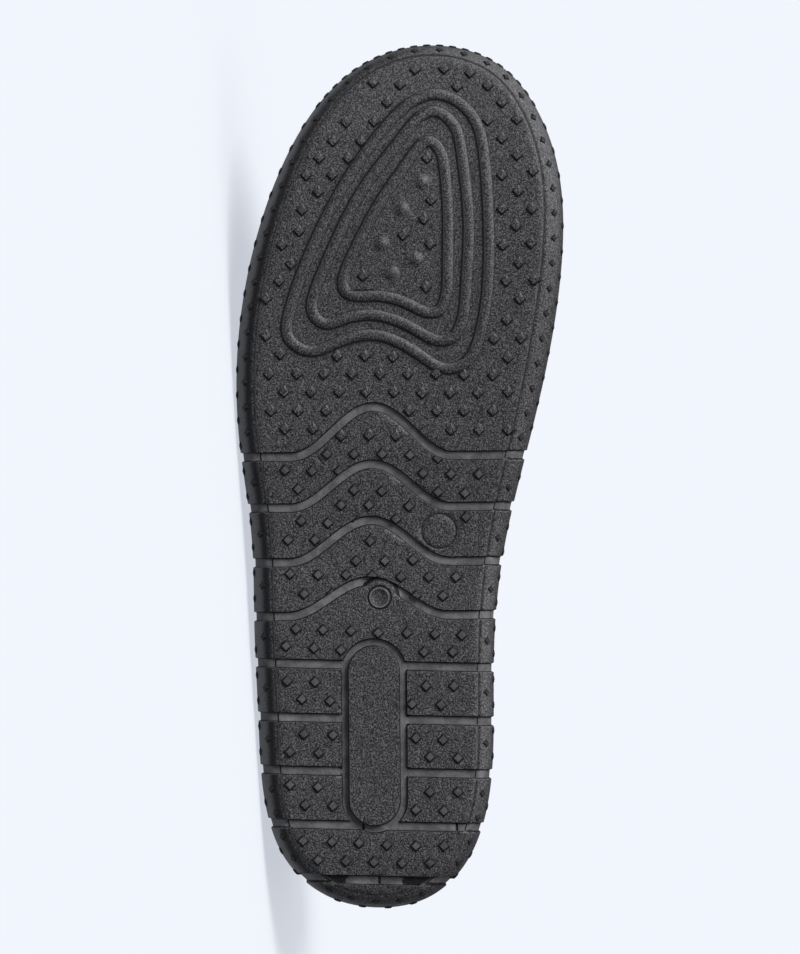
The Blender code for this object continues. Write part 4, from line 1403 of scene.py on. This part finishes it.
@dataclass
class Upper:
    """The stretch cloth upper with its bound collar, its back seam and its stitches."""

    last: Last
    shoe: ShoeFrame
    wall: float = 2.0 * MM
    fit_gap: float = 0.3 * MM
    collar_height: float = 74 * MM
    binding_width: float = 8.5 * MM
    binding_step: float = 0.7 * MM
    binding_inside: float = 2.4 * MM
    fold_steps: int = 8
    band_rows: int = 12
    column_step: float = 2.2 * MM
    rows: int = 56
    line_samples: int = 161
    stitch_pitch: float = 3.2 * MM
    thread: float = 0.55 * MM
    thread_lift: float = 0.35
    stitch_rings: Shares = (1.9 * MM, 1.5 * MM, 1.1 * MM)
    stitch_drop: float = 0.55
    stitch_fill: float = 0.72
    stitch_aim: float = 0.5 * MM
    stitch_ends: Pair = (0.4, 0.45)
    seam_width: float = 5.0 * MM
    seam_pitch: float = 1.5 * MM
    seam_start: float = 3.0 * MM
    seam_reach: float = 0.002
    under_binding: float = 1.5 * MM
    flat_height: float = 90 * MM
    crease_bow: float = 0.12
    crease_fade: Pair = (0.15, 0.5)
    crease_swell: Pair = (0.45, 1.8)
    calm_foot: float = 0.16
    calm_top: Pair = (0.93, 0.14)
    inner_follow: float = 0.8
    wave_height: float = 0.09 * MM
    waves: tuple[tuple[float, ...], ...] = ((7, 4.0, 0.0, 1.0), (13, -6.0, 1.0, 0.7), (19, 9.0, 2.0, 0.6))

    def __post_init__(self) -> None:
        """Run the table's columns round the shoe and draw the lines from rim to collar."""
        self.shape = self.last.around(UPPER, UpperRow._fields[2:])
        count = int(self.last.girth / self.column_step)
        self.positions = np.arange(count) / count
        self.lines = self.draw_lines(self.positions)

    def draw_lines(self, positions: Array) -> Array:
        """Return the outer face above the rim, as lines of points from the rim to the collar."""
        start = self.last.cup_rings(positions, self.fit_gap)[-1]
        shape = dict(zip(UpperRow._fields[2:], self.shape(positions).T))
        end = np.column_stack([
            shape["collar_across"] * self.last.ball_width,
            shape["collar_station"] * self.last.sole_length,
            shape["collar_height"] * self.collar_height,
        ])
        climb = end[:, 2] - start[:, 2]
        outward = -self.last.inward(positions) * (shape["flare"] * self.last.ball_width)[:, None]
        after_start = start + np.column_stack([outward, shape["rise"] * climb])
        before_end = end.copy()
        before_end[:, :2] += (start - end)[:, :2] * shape["reach"][:, None]
        before_end[:, 2] -= shape["drop"] * climb
        t = np.linspace(0.0, 1.0, self.line_samples)[:, None, None]
        lines = start * (1 - t) ** 3 + after_start * 3 * t * (1 - t) ** 2
        return (lines + before_end * 3 * t**2 * (1 - t) + end * t**3).transpose(1, 0, 2)

    def at_run(self, runs: Callable[[float], Array]) -> Array:
        """Return rings of points, each line cut at the distances that a function of its length gives."""
        columns = []
        for line in self.lines:
            run = run_along(line)
            columns.append(read_at(runs(run[-1]), run, line))
        return np.array(columns).transpose(1, 0, 2)

    @staticmethod
    def normals(grid: Array) -> Array:
        """Return the outward unit normals of a grid of closed rings."""
        around_shoe = np.roll(grid, -1, axis=1) - np.roll(grid, 1, axis=1)
        return units(np.cross(around_shoe, np.gradient(grid, axis=0)))

    def crease_depth(self, up: Array) -> Array:
        """Return how far the creases move the outer face, inward negative, on rows of shares up."""
        around_shoe = np.broadcast_to(self.positions[None], (len(up), len(self.positions)))
        share = np.broadcast_to(np.asarray(up)[:, None], around_shoe.shape)
        moved = np.zeros(around_shoe.shape)
        reach, fade_run = self.crease_fade
        swell, swell_place = self.crease_swell
        for crease in CREASES:
            start = self.last.position_at(crease.side, crease.station)
            end = self.last.position_at(crease.to_side, crease.to_station)
            run = np.array([(end - start) * self.last.girth, (crease.to_up - crease.up) * self.flat_height])
            length = float(np.linalg.norm(run))
            run /= length
            right = (around_shoe - start) * self.last.girth
            above = (share - crease.up) * self.flat_height
            along = (right * run[0] + above * run[1]) / length
            bow = self.crease_bow * length * np.sin(np.pi * np.clip(along, 0.0, 1.0))
            away = np.abs(-right * run[1] + above * run[0] - bow) / crease.width
            fade = smooth_step((along + reach) / fade_run) * smooth_step((1.0 + reach - along) / fade_run)
            trough = -np.exp(-(away**2)) + swell * np.exp(-((away - swell_place) ** 2))
            moved += crease.depth * fade * trough
        return moved

    def build_shell(self) -> Object:
        """Return the hollow cloth wall, from inside the sole up to under the binding."""
        tucked = np.array(self.last.cup_rings(self.positions, self.fit_gap)[:-1])
        up = np.linspace(0.0, 1.0, self.rows)
        rising = self.at_run(lambda run: up * (run - self.under_binding))
        grid = np.concatenate([tucked, rising])
        normal = self.normals(grid)
        normal[0, :, 2] = 0.0
        normal[0] = units(normal[0])
        top, top_fade = self.calm_top
        fade = smooth_step(up / self.calm_foot) * smooth_step((top - up) / top_fade)
        moved = (self.crease_depth(up) + self.undulation(up)) * fade[:, None]
        moved = np.concatenate([np.zeros((2, len(self.positions))), moved])
        outer = grid + normal * moved[:, :, None]
        inner = grid + normal * (moved * self.inner_follow - self.wall)[:, :, None]
        inner[0, :, 2] = grid[0, :, 2]
        parts = MeshParts()
        for ring in list(outer) + list(inner[::-1]):
            parts.add(ring)
        rings = 2 * len(grid)
        parts.join_rings(0, rings, len(self.positions), closed=True)
        piece = parts.make("upper_cloth", self.shoe)
        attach(piece, BODY)
        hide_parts("upper")
        return piece

    def undulation(self, up: Array) -> Array:
        """Return the slow waves of soft cloth, as offsets on rows of shares up."""
        turn = 2 * math.pi * self.positions[None]
        rise = np.asarray(up)[:, None]
        return self.wave_height * sum(size * np.sin(count * turn + climb * rise + start)
                                      for count, climb, start, size in self.waves)

    def build_binding(self) -> Object:
        """Return the tape that is folded over the collar's edge."""
        width, out, tuck = self.binding_width, self.binding_step, self.binding_inside
        radius = 0.5 * (out + tuck)
        middle = 0.5 * (out - tuck)
        section = [(width, -0.3 * MM), (width - 0.15 * MM, 0.45 * out), (width - 0.6 * MM, out)]
        section += [(0.75 * width, 1.15 * out), (0.5 * width, 1.3 * out)]
        for i in range(self.fold_steps + 1):
            turn = math.pi * i / self.fold_steps
            section.append((radius * (1.0 - math.sin(turn)), middle + radius * math.cos(turn)))
        section += [(0.5 * width, -tuck), (width - 0.6 * MM, -tuck)]
        section += [(width, -tuck + 0.5 * MM), (width - 0.3 * MM, -1.2 * MM)]
        below = np.array([down for down, _ in section])
        grid = self.at_run(lambda run: run - below)
        band = self.at_run(lambda run: run - np.linspace(width, 0.0, self.band_rows))
        normal = units(self.normals(band).mean(axis=0))
        parts = MeshParts()
        for ring, (_, outward) in zip(grid, section):
            parts.add(ring + normal * outward)
        parts.join_rings(0, len(section), len(self.positions), closed=True)
        piece = parts.make("collar_binding", self.shoe)
        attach(piece, BODY)
        return piece

    def model_stitch(self, length: float) -> Object:
        """Return one sewn stitch: a short thread along y that dips in at both ends."""
        deselect_all()
        bpy.ops.mesh.primitive_cylinder_add(vertices=6, radius=0.5 * self.thread, depth=length)
        stitch = bpy.context.object
        stitch.rotation_euler = (math.radians(90), 0.0, 0.0)
        bpy.ops.object.transform_apply(location=True, rotation=True, scale=True)
        bpy.ops.object.mode_set(mode="EDIT")
        bpy.ops.mesh.select_all(action="SELECT")
        bpy.ops.mesh.bisect(plane_co=(0, 0, 0), plane_no=(0, 1, 0))
        end_from, end_size = self.stitch_ends
        mesh = bmesh.from_edit_mesh(stitch.data)
        for vertex in mesh.verts:
            vertex.select_set(abs(vertex.co.y) > end_from * length)
        mesh.select_flush_mode()
        bmesh.update_edit_mesh(stitch.data)
        bpy.ops.transform.resize(value=(end_size, 1.0, end_size), center_override=(0.0, 0.0, 0.0))
        bpy.ops.transform.translate(value=(0.0, 0.0, -0.5 * self.thread))
        bpy.ops.object.mode_set(mode="OBJECT")
        stitch.data.shade_smooth()
        return stitch

    def build_back_seam(self) -> Object:
        """Return the flat seam up the back of the heel: short threads laid across it."""
        line = self.lines[0]
        run = run_along(line)
        around_heel = self.draw_lines(np.array([-self.seam_reach, 0.0, self.seam_reach])).transpose(1, 0, 2)
        across = around_heel[:, 2] - around_heel[:, 0]
        facing = units(np.cross(across, np.gradient(line, axis=0)))
        stitch = self.model_stitch(self.seam_width)
        meshes = []
        for place in np.arange(self.seam_start, run[-1] - self.binding_width, self.seam_pitch):
            here, side, out = (read_at(place, run, rows) for rows in (line, across, facing))
            seat = Seat(here + out * self.thread_lift * self.thread, out, side)
            meshes.append(placed_copy(stitch.data, seat.matrix(self.shoe)))
        bpy.data.objects.remove(stitch)
        piece = joined(meshes, "back_seam_threads")
        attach(piece, BODY)
        return piece

    def build_stitches(self) -> Object:
        """Return the row of stitches that holds the binding, a little above its lower edge."""
        drop = np.array(self.stitch_rings)
        rings = self.at_run(lambda run: run - drop - self.stitch_drop * self.binding_width)
        normal = self.normals(rings)[1]
        line = rings[1] + normal * (1.2 * self.binding_step)
        closed_line = np.vstack([line, line[:1]])
        closed_normal = np.vstack([normal, normal[:1]])
        run = run_along(closed_line)
        count = int(run[-1] / self.stitch_pitch)
        stitch = self.model_stitch(self.stitch_fill * self.stitch_pitch)
        meshes = []
        for i in range(count):
            middle = (i + 0.5) * run[-1] / count
            around = [middle - self.stitch_aim, middle, middle + self.stitch_aim]
            before, here, after = read_at(around, run, closed_line)
            seat = Seat(here, read_at(middle, run, closed_normal), after - before)
            meshes.append(placed_copy(stitch.data, seat.matrix(self.shoe)))
        bpy.data.objects.remove(stitch)
        piece = joined(meshes, "collar_stitches")
        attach(piece, BODY)
        return piece


@dataclass
class Insole:
    """The loose foam sheet on the floor of the sole, its edge rounded and its top faced with cloth."""

    last: Last
    shoe: ShoeFrame
    thickness: float = 3.5 * MM
    fit_gap: float = 0.3 * MM
    upper_wall: float = 2.0 * MM
    edge_round: float = 0.9 * MM
    round_rows: int = 5
    foot_round: float = 0.3 * MM
    columns: int = 260
    fill_step: float = 3.5 * MM

    def build(self) -> Object:
        """Return the insole's mesh object."""
        positions = np.arange(self.columns) / self.columns
        base = self.last.corner_inset + self.upper_wall + 2 * self.fit_gap
        level = self.last.floor_height + self.fit_gap
        section = [(self.foot_round, 0.0), (0.0, self.foot_round), (0.0, self.thickness - self.edge_round)]
        for i in range(1, self.round_rows + 1):
            turn = 0.5 * math.pi * i / self.round_rows
            inset = self.edge_round * (1.0 - math.cos(turn))
            section.append((inset, self.thickness - self.edge_round * (1.0 - math.sin(turn))))
        parts = MeshParts()
        for inset, height in section:
            plan = self.last.inset_line(positions, base + inset)
            parts.add(np.column_stack([plan, self.last.last_rise(plan[:, 1]) + level + height]))
        parts.join_rings(0, len(section), self.columns)
        for ring, (inset, height) in ((0, section[0]), (len(section) - 1, section[-1])):
            loop = [(self.last.inset_line(positions, base + inset), True)]
            fill = scatter(loop, self.fill_step)
            parts.cap(ring * self.columns, loop, fill, self.last.level_floor(level + height))
        piece = parts.make("foam_insole", self.shoe)
        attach(piece, BODY)
        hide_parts("insole")
        return piece


class Shader:
    """A material or node group under construction, with short ways to add and link nodes."""

    def __init__(self, tree: NodeTree) -> None:
        """Keep the node tree."""
        self.tree = tree

    def node(self, kind: str, **settings: object) -> Node:
        """Return a new node; a setting is one of its attributes or, failing that, an input's value."""
        made = self.tree.nodes.new(kind)
        for name, value in settings.items():
            if hasattr(made, name):
                setattr(made, name, value)
        for name, value in settings.items():
            if not hasattr(made, name):
                made.inputs[name.replace("_", " ")].default_value = value
        return made

    def link(self, start: NodeSocket, end: NodeSocket) -> None:
        """Link an output to an input."""
        self.tree.links.new(start, end)

    def math(self, operation: str, a: object, b: object = 0.5, clamp: bool = False) -> NodeSocket:
        """Return the output of a Math node on two sockets or numbers."""
        made = self.tree.nodes.new("ShaderNodeMath")
        made.operation = operation
        made.use_clamp = clamp
        for socket, value in zip(made.inputs, (a, b)):
            if isinstance(value, NodeSocket):
                self.link(value, socket)
            else:
                socket.default_value = value
        return made.outputs[0]

    def mix(self, factor: object, a: object, b: object) -> NodeSocket:
        """Return the colour between two sockets or colours."""
        made = self.tree.nodes.new("ShaderNodeMix")
        made.data_type = "RGBA"
        for index, value in ((0, factor), (6, a), (7, b)):
            if isinstance(value, NodeSocket):
                self.link(value, made.inputs[index])
            elif index == 0:
                made.inputs[0].default_value = value
            else:
                made.inputs[index].default_value = (*value, 1.0)
        return made.outputs[2]

    def ramp(self, value: NodeSocket, low: float, high: float) -> NodeSocket:
        """Return a socket stretched so that low becomes 0 and high becomes 1."""
        made = self.node("ShaderNodeMapRange", clamp=True, interpolation_type="SMOOTHSTEP")
        made.inputs["From Min"].default_value = low
        made.inputs["From Max"].default_value = high
        self.link(value, made.inputs["Value"])
        return made.outputs[0]

    def group(self, tree: NodeTree, scale: float) -> Node:
        """Return a shared node group at a scale, laid out by the piece's Object coordinates."""
        made = self.node("ShaderNodeGroup", node_tree=tree)
        made.inputs["Scale"].default_value = scale
        self.link(self.node("ShaderNodeTexCoord").outputs["Object"], made.inputs["Vector"])
        return made

    def bump(self, height: NodeSocket, strength: float, depth: float, surface: Node) -> None:
        """Give a surface small relief from a height."""
        made = self.node("ShaderNodeBump", Strength=strength, Distance=depth)
        self.link(height, made.inputs["Height"])
        self.link(made.outputs["Normal"], surface.inputs["Normal"])


def new_group(name: str, *outputs: str) -> tuple[Shader, Node, Node]:
    """Return a new node group that takes a place and a scale, with its input and its output node."""
    tree = bpy.data.node_groups.new(name, "ShaderNodeTree")
    tree.interface.new_socket("Vector", in_out="INPUT", socket_type="NodeSocketVector")
    tree.interface.new_socket("Scale", in_out="INPUT", socket_type="NodeSocketFloat")
    for output in outputs:
        tree.interface.new_socket(output, in_out="OUTPUT", socket_type="NodeSocketFloat")
    shader = Shader(tree)
    return shader, shader.node("NodeGroupInput"), shader.node("NodeGroupOutput")


def feed(shader: Shader, given: Node, texture: Node, factor: float) -> None:
    """Give a texture the group's place, and its scale times a factor."""
    shader.link(given.outputs["Vector"], texture.inputs["Vector"])
    shader.link(shader.math("MULTIPLY", given.outputs["Scale"], factor), texture.inputs["Scale"])


def grain_group() -> NodeTree:
    """Return the node group for a fine moulded grain: its height and its bright and dark specks."""
    shader, given, result = new_group("fine_grain", "Height", "Speck")
    fine = shader.node("ShaderNodeTexNoise", Detail=3.0, Roughness=0.65)
    coarse = shader.node("ShaderNodeTexVoronoi", feature="SMOOTH_F1")
    feed(shader, given, fine, 1.0)
    feed(shader, given, coarse, 0.55)
    height = shader.math("ADD", fine.outputs[0], shader.math("MULTIPLY", coarse.outputs["Distance"], 0.55))
    shader.link(height, result.inputs["Height"])
    shader.link(shader.ramp(fine.outputs[0], 0.42, 0.67), result.inputs["Speck"])
    return shader.tree


def smudge_group() -> NodeTree:
    """Return the node group for slow smudges and dirt: a mask that changes over centimetres."""
    shader, given, result = new_group("slow_smudge", "Mask")
    noise = shader.node("ShaderNodeTexNoise", Detail=4.0, Roughness=0.6, Distortion=0.6)
    feed(shader, given, noise, 1.0)
    shader.link(shader.ramp(noise.outputs[0], 0.38, 0.66), result.inputs["Mask"])
    return shader.tree


def knit_group() -> NodeTree:
    """Return the node group for a fine mesh cloth: the height of its threads round small holes."""
    shader, given, result = new_group("fine_knit", "Height")
    holes = shader.node("ShaderNodeTexVoronoi", feature="F1", Randomness=0.85)
    fuzz = shader.node("ShaderNodeTexNoise", Detail=2.0, Roughness=0.6)
    feed(shader, given, holes, 1.0)
    feed(shader, given, fuzz, 2.6)
    height = shader.math("ADD", holes.outputs["Distance"], shader.math("MULTIPLY", fuzz.outputs[0], 0.35))
    shader.link(height, result.inputs["Height"])
    return shader.tree


@dataclass(frozen=True)
class Rubber:
    """Black moulded rubber: grained blocks, and paler, smoother floors in its grooves; painted shade darkens
    brinks, thin lines and flanks, and painted light brightens faces toward the floor and the key light.
    """

    block: Colour = (0.0036, 0.0035, 0.0040)
    speck: Colour = (0.056, 0.055, 0.059)
    floor: Colour = (0.058, 0.058, 0.060)
    # Painted light: a paler colour where faces point down to the floor, and a painted highlight toward the
    # key light
    painted_floor_light: Colour = (0.072, 0.072, 0.074)
    painted_highlight: Colour = (0.082, 0.082, 0.085)
    highlight_from: Direction = (-0.52, -0.52, 0.68)
    # Colour of the painted shade in brinks, thin lines, ridge feet and stud flanks
    line: Colour = (0.001, 0.001, 0.0012)
    roughness: float = 0.55
    gloss: float = 0.10
    grain_scale: float = 2300.0
    grain_depth: float = 0.00030
    smudge_scale: float = 170.0
    smudge_rough: float = 0.10
    floor_marks: Pair = (0.84, 0.98)
    # Marks painted as shade: groove brinks, and negative marks for thin lines, feet and flanks
    brink_marks: Pair = (0.02, 0.35)
    line_marks: Pair = (0.02, 0.90)
    darkest: float = 0.95
    # Painted light from the floor below, and a painted highlight on faces toward the key light
    under_facing: Pair = (0.25, 0.80)
    floor_light_share: float = 0.85
    highlight_facing: Pair = (0.64, 0.96)
    highlight_specks: float = 0.60
    highlight_base: float = 0.22
    mottle: float = 0.50
    floor_specks: float = 0.4
    floor_calm: float = 0.5

    def make(self, name: str, groups: Groups) -> Material:
        """Return the material, which follows the pieces' groove attribute.

        Args:
            name: Its name.
            groups: The shared node groups.

        Returns:
            The material.
        """
        material, shader, surface = new_material(name)
        grain = shader.group(groups["grain"], self.grain_scale)
        speck = grain.outputs["Speck"]
        smudge = shader.group(groups["smudge"], self.smudge_scale).outputs["Mask"]
        mark = shader.node("ShaderNodeAttribute", attribute_name="groove").outputs["Fac"]
        floor_share = shader.ramp(mark, *self.floor_marks)
        off_floor = shader.math("SUBTRACT", 1.0, floor_share)
        # Painted shade: groove brinks and negative marks are darkened toward the line colour
        brink = shader.math("MULTIPLY", shader.ramp(mark, *self.brink_marks), off_floor)
        line = shader.ramp(shader.math("MULTIPLY", mark, -1.0), *self.line_marks)
        dark = shader.math("MULTIPLY", shader.math("MAXIMUM", brink, line), self.darkest)
        block = self.block_with_painted_light(shader, speck)
        mottled = shader.mix(smudge, tuple(self.mottle * c for c in self.floor), self.floor)
        floor = shader.mix(shader.math("MULTIPLY", speck, self.floor_specks), mottled, self.speck)
        colour = shader.mix(dark, shader.mix(floor_share, block, floor), self.line)
        shader.link(colour, surface.inputs["Base Color"])
        calm = shader.math("SUBTRACT", 1.0, shader.math("MULTIPLY", floor_share, self.floor_calm))
        shader.bump(shader.math("MULTIPLY", grain.outputs["Height"], calm), 1.0, self.grain_depth, surface)
        rough = shader.math("ADD", shader.math("MULTIPLY", smudge, self.smudge_rough), self.roughness)
        shader.link(rough, surface.inputs["Roughness"])
        surface.inputs["Specular IOR Level"].default_value = self.gloss
        return material

    def block_with_painted_light(self, shader: Shader, speck: NodeSocket) -> NodeSocket:
        """Return the blocks' colour: specked, with painted light where it faces the floor below and a painted
        highlight, patchy with the specks, where it faces the key light.
        """
        normal = shader.node("ShaderNodeTexCoord").outputs["Normal"]
        facing = shader.node("ShaderNodeSeparateXYZ")
        shader.link(normal, facing.inputs[0])
        # Painted light on faces that point down to the bright floor
        under = shader.ramp(shader.math("MULTIPLY", facing.outputs["Z"], -1.0), *self.under_facing)
        block = shader.mix(speck, self.block, self.speck)
        block = shader.mix(shader.math("MULTIPLY", under, self.floor_light_share), block, self.painted_floor_light)
        # Painted highlight on faces that turn toward the key light's direction
        highlight_dot = shader.node("ShaderNodeVectorMath", operation="DOT_PRODUCT")
        shader.link(normal, highlight_dot.inputs[0])
        highlight_dot.inputs[1].default_value = self.highlight_from
        patchy = shader.math("ADD", shader.math("MULTIPLY", speck, self.highlight_specks), self.highlight_base)
        toward = shader.ramp(highlight_dot.outputs["Value"], *self.highlight_facing)
        return shader.mix(shader.math("MULTIPLY", toward, patchy), block, self.painted_highlight)


@dataclass(frozen=True)
class Cloth:
    """Black stretch cloth or tape with a fine mesh."""

    hole: Colour = (0.009, 0.009, 0.010)
    raised: Colour = (0.031, 0.031, 0.034)
    raised_from: Pair = (0.30, 0.75)
    scale: float = 1150.0
    relief: float = 0.8
    depth: float = 0.00024
    roughness: float = 0.85
    gloss: float = 0.3
    sheen: float = 0.10

    def make(self, name: str, groups: Groups) -> Material:
        """Return the material."""
        material, shader, surface = new_material(name)
        height = shader.group(groups["knit"], self.scale).outputs["Height"]
        colour = shader.mix(shader.ramp(height, *self.raised_from), self.hole, self.raised)
        shader.link(colour, surface.inputs["Base Color"])
        shader.bump(height, self.relief, self.depth, surface)
        surface.inputs["Roughness"].default_value = self.roughness
        surface.inputs["Specular IOR Level"].default_value = self.gloss
        surface.inputs["Sheen Weight"].default_value = self.sheen
        return material


@dataclass(frozen=True)
class Grained:
    """A plain matt finish with two close colours in its grain, and small relief where it has any."""

    colour: Colour
    lighter: Colour
    grain_scale: float
    roughness: float
    relief: float = 0.0
    depth: float = 0.0003

    def make(self, name: str, groups: Groups) -> Material:
        """Return the material."""
        material, shader, surface = new_material(name)
        grain = shader.group(groups["grain"], self.grain_scale)
        colour = shader.mix(grain.outputs["Speck"], self.colour, self.lighter)
        shader.link(colour, surface.inputs["Base Color"])
        if self.relief:
            shader.bump(grain.outputs["Height"], self.relief, self.depth, surface)
        surface.inputs["Roughness"].default_value = self.roughness
        return material


TAPE = Cloth(scale=1500.0, depth=0.00018)
FOAM = Grained((0.045, 0.045, 0.050), (0.080, 0.080, 0.086), 1100.0, 0.92, relief=0.6)
THREAD = Grained((0.030, 0.030, 0.033), (0.055, 0.055, 0.060), 2600.0, 0.55)


def new_material(name: str) -> tuple[Material, Shader, Node]:
    """Return a new material, its nodes and its Principled shader."""
    material = bpy.data.materials.new(name)
    material.use_nodes = True
    return material, Shader(material.node_tree), material.node_tree.nodes["Principled BSDF"]


def dress(piece: Object, material: Material) -> None:
    """Give a piece its one material."""
    piece.data.materials.clear()
    piece.data.materials.append(material)


@dataclass
class Studio:
    """The pale floor, the soft lights and the camera at the photograph's angle to the shoe."""

    shoe: ShoeFrame
    photo: PhotoView
    distance: float = 4.0
    sensor: float = 36.0
    near: float = 0.05
    far: float = 200.0
    floor_size: float = 60.0
    floor_patch: float = 3.0
    floor_mottle: float = 0.985
    floor_rough: float = 0.9
    floor_colour: Colour = (0.12, 0.12, 0.12)
    floor_glow: Colour = (0.549, 0.578, 0.645)
    world_colour: Colour = (0.90, 0.93, 0.985)
    world_strength: float = 0.30
    key_direction: Direction = (-0.52, -0.52, 0.68)
    key_strength: float = 8.4
    key_angle: float = math.radians(30)
    top_direction: Direction = (-0.15, -0.25, 0.95)
    top_strength: float = 2.4
    top_angle: float = math.radians(80)
    light_away: float = 2.0

    def build_floor(self) -> None:
        """Lay the floor, which glows softly from within and is not part of the shoe."""
        deselect_all()
        bpy.ops.mesh.primitive_plane_add(size=self.floor_size, location=(0.0, 0.0, 0.0))
        floor = bpy.context.object
        floor.name = "studio_floor"
        material, shader, surface = new_material("pale_floor")
        noise = shader.node("ShaderNodeTexNoise", Scale=self.floor_patch, Detail=2.0)
        place = shader.node("ShaderNodeTexCoord")
        shader.link(place.outputs["Object"], noise.inputs["Vector"])
        darker = tuple(self.floor_mottle * c for c in self.floor_colour)
        shader.link(shader.mix(noise.outputs[0], darker, self.floor_colour), surface.inputs["Base Color"])
        surface.inputs["Roughness"].default_value = self.floor_rough
        surface.inputs["Specular IOR Level"].default_value = 0.0
        surface.inputs["Emission Color"].default_value = (*self.floor_glow, 1.0)
        surface.inputs["Emission Strength"].default_value = 1.0
        dress(floor, material)

    def build_lights(self) -> None:
        """Set the soft world light, the key light from the toe and a wide light from above."""
        scene = bpy.context.scene
        scene.view_settings.view_transform = "Standard"
        world = bpy.data.worlds.new("soft_room")
        world.use_nodes = True
        back = world.node_tree.nodes["Background"]
        back.inputs["Color"].default_value = (*self.world_colour, 1.0)
        back.inputs["Strength"].default_value = self.world_strength
        scene.world = world
        self.build_sun("key_light", self.key_direction, self.key_strength, self.key_angle)
        self.build_sun("top_light", self.top_direction, self.top_strength, self.top_angle)

    def build_sun(self, name: str, direction: Sequence[float], strength: float, angle: float) -> None:
        """Add a far light that shines from a direction; the wider its angle, the softer its shadows."""
        deselect_all()
        bpy.ops.object.light_add(type="SUN", location=tuple(self.light_away * d for d in direction))
        light = bpy.context.object
        light.name = name
        light.data.energy = strength
        light.data.angle = angle
        light.rotation_mode = "QUATERNION"
        light.rotation_quaternion = Vector(direction).normalized().to_track_quat("Z", "Y")

    def build_camera(self) -> None:
        """Set the camera straight below the tread, with the toe up in its picture."""
        scene = bpy.context.scene
        data = bpy.data.cameras.new("camera")
        camera = bpy.data.objects.new("camera", data)
        scene.collection.objects.link(camera)
        sine, cosine = math.sin(self.photo.tilt), math.cos(self.photo.tilt)
        forward = self.shoe.direction((0.0, 0.0, 1.0))
        up = self.shoe.direction((sine, cosine, 0.0))
        right = forward.cross(up)
        eye = Vector(self.shoe.lay(np.array([0.0, self.photo.middle_along, -self.distance])))
        camera.matrix_world = Matrix.Translation(eye) @ Matrix((right, up, -forward)).transposed().to_4x4()
        tall = self.photo.height * self.photo.metres_per_pixel
        data.sensor_width = self.sensor
        data.lens = self.sensor * self.distance / tall
        data.clip_start = self.near
        data.clip_end = self.far
        scene.camera = camera

    def build(self) -> None:
        """Build the floor, the lights and the camera."""
        self.build_floor()
        self.build_lights()
        self.build_camera()


def count_triangles(piece: Object) -> int:
    """Return how many triangles a piece has."""
    piece.data.calc_loop_triangles()
    return len(piece.data.loop_triangles)


def main() -> None:
    """Build and dress the shoe's pieces in order, then the studio."""
    logging.basicConfig(level=logging.INFO, format="%(message)s")
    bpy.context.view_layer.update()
    last = Last()
    shoe = ShoeFrame(last)
    photo = PhotoView()
    relief = TreadRelief(last, photo)
    groups = {"grain": grain_group(), "smudge": smudge_group(), "knit": knit_group()}
    Studio(shoe, photo).build()

    sole = Outsole(last, shoe, relief)
    upper = Upper(last, shoe)
    studs = Studs(last, shoe, relief).build(sole)
    rubber = Rubber().make("black_rubber_moulding", groups)
    looks = [(piece, rubber) for piece in (sole.build(), *studs)]
    looks.append((upper.build_shell(), Cloth().make("stretch_cloth_knit", groups)))
    looks.append((upper.build_binding(), TAPE.make("binding_tape", groups)))
    thread = THREAD.make("sewing_thread", groups)
    looks += [(upper.build_stitches(), thread), (upper.build_back_seam(), thread)]
    looks.append((Insole(last, shoe).build(), FOAM.make("foam_with_cloth", groups)))
    for piece, material in looks:
        dress(piece, material)
        LOG.info("%s: %d triangles", piece.name, count_triangles(piece))


if __name__ == "__main__":
    main()
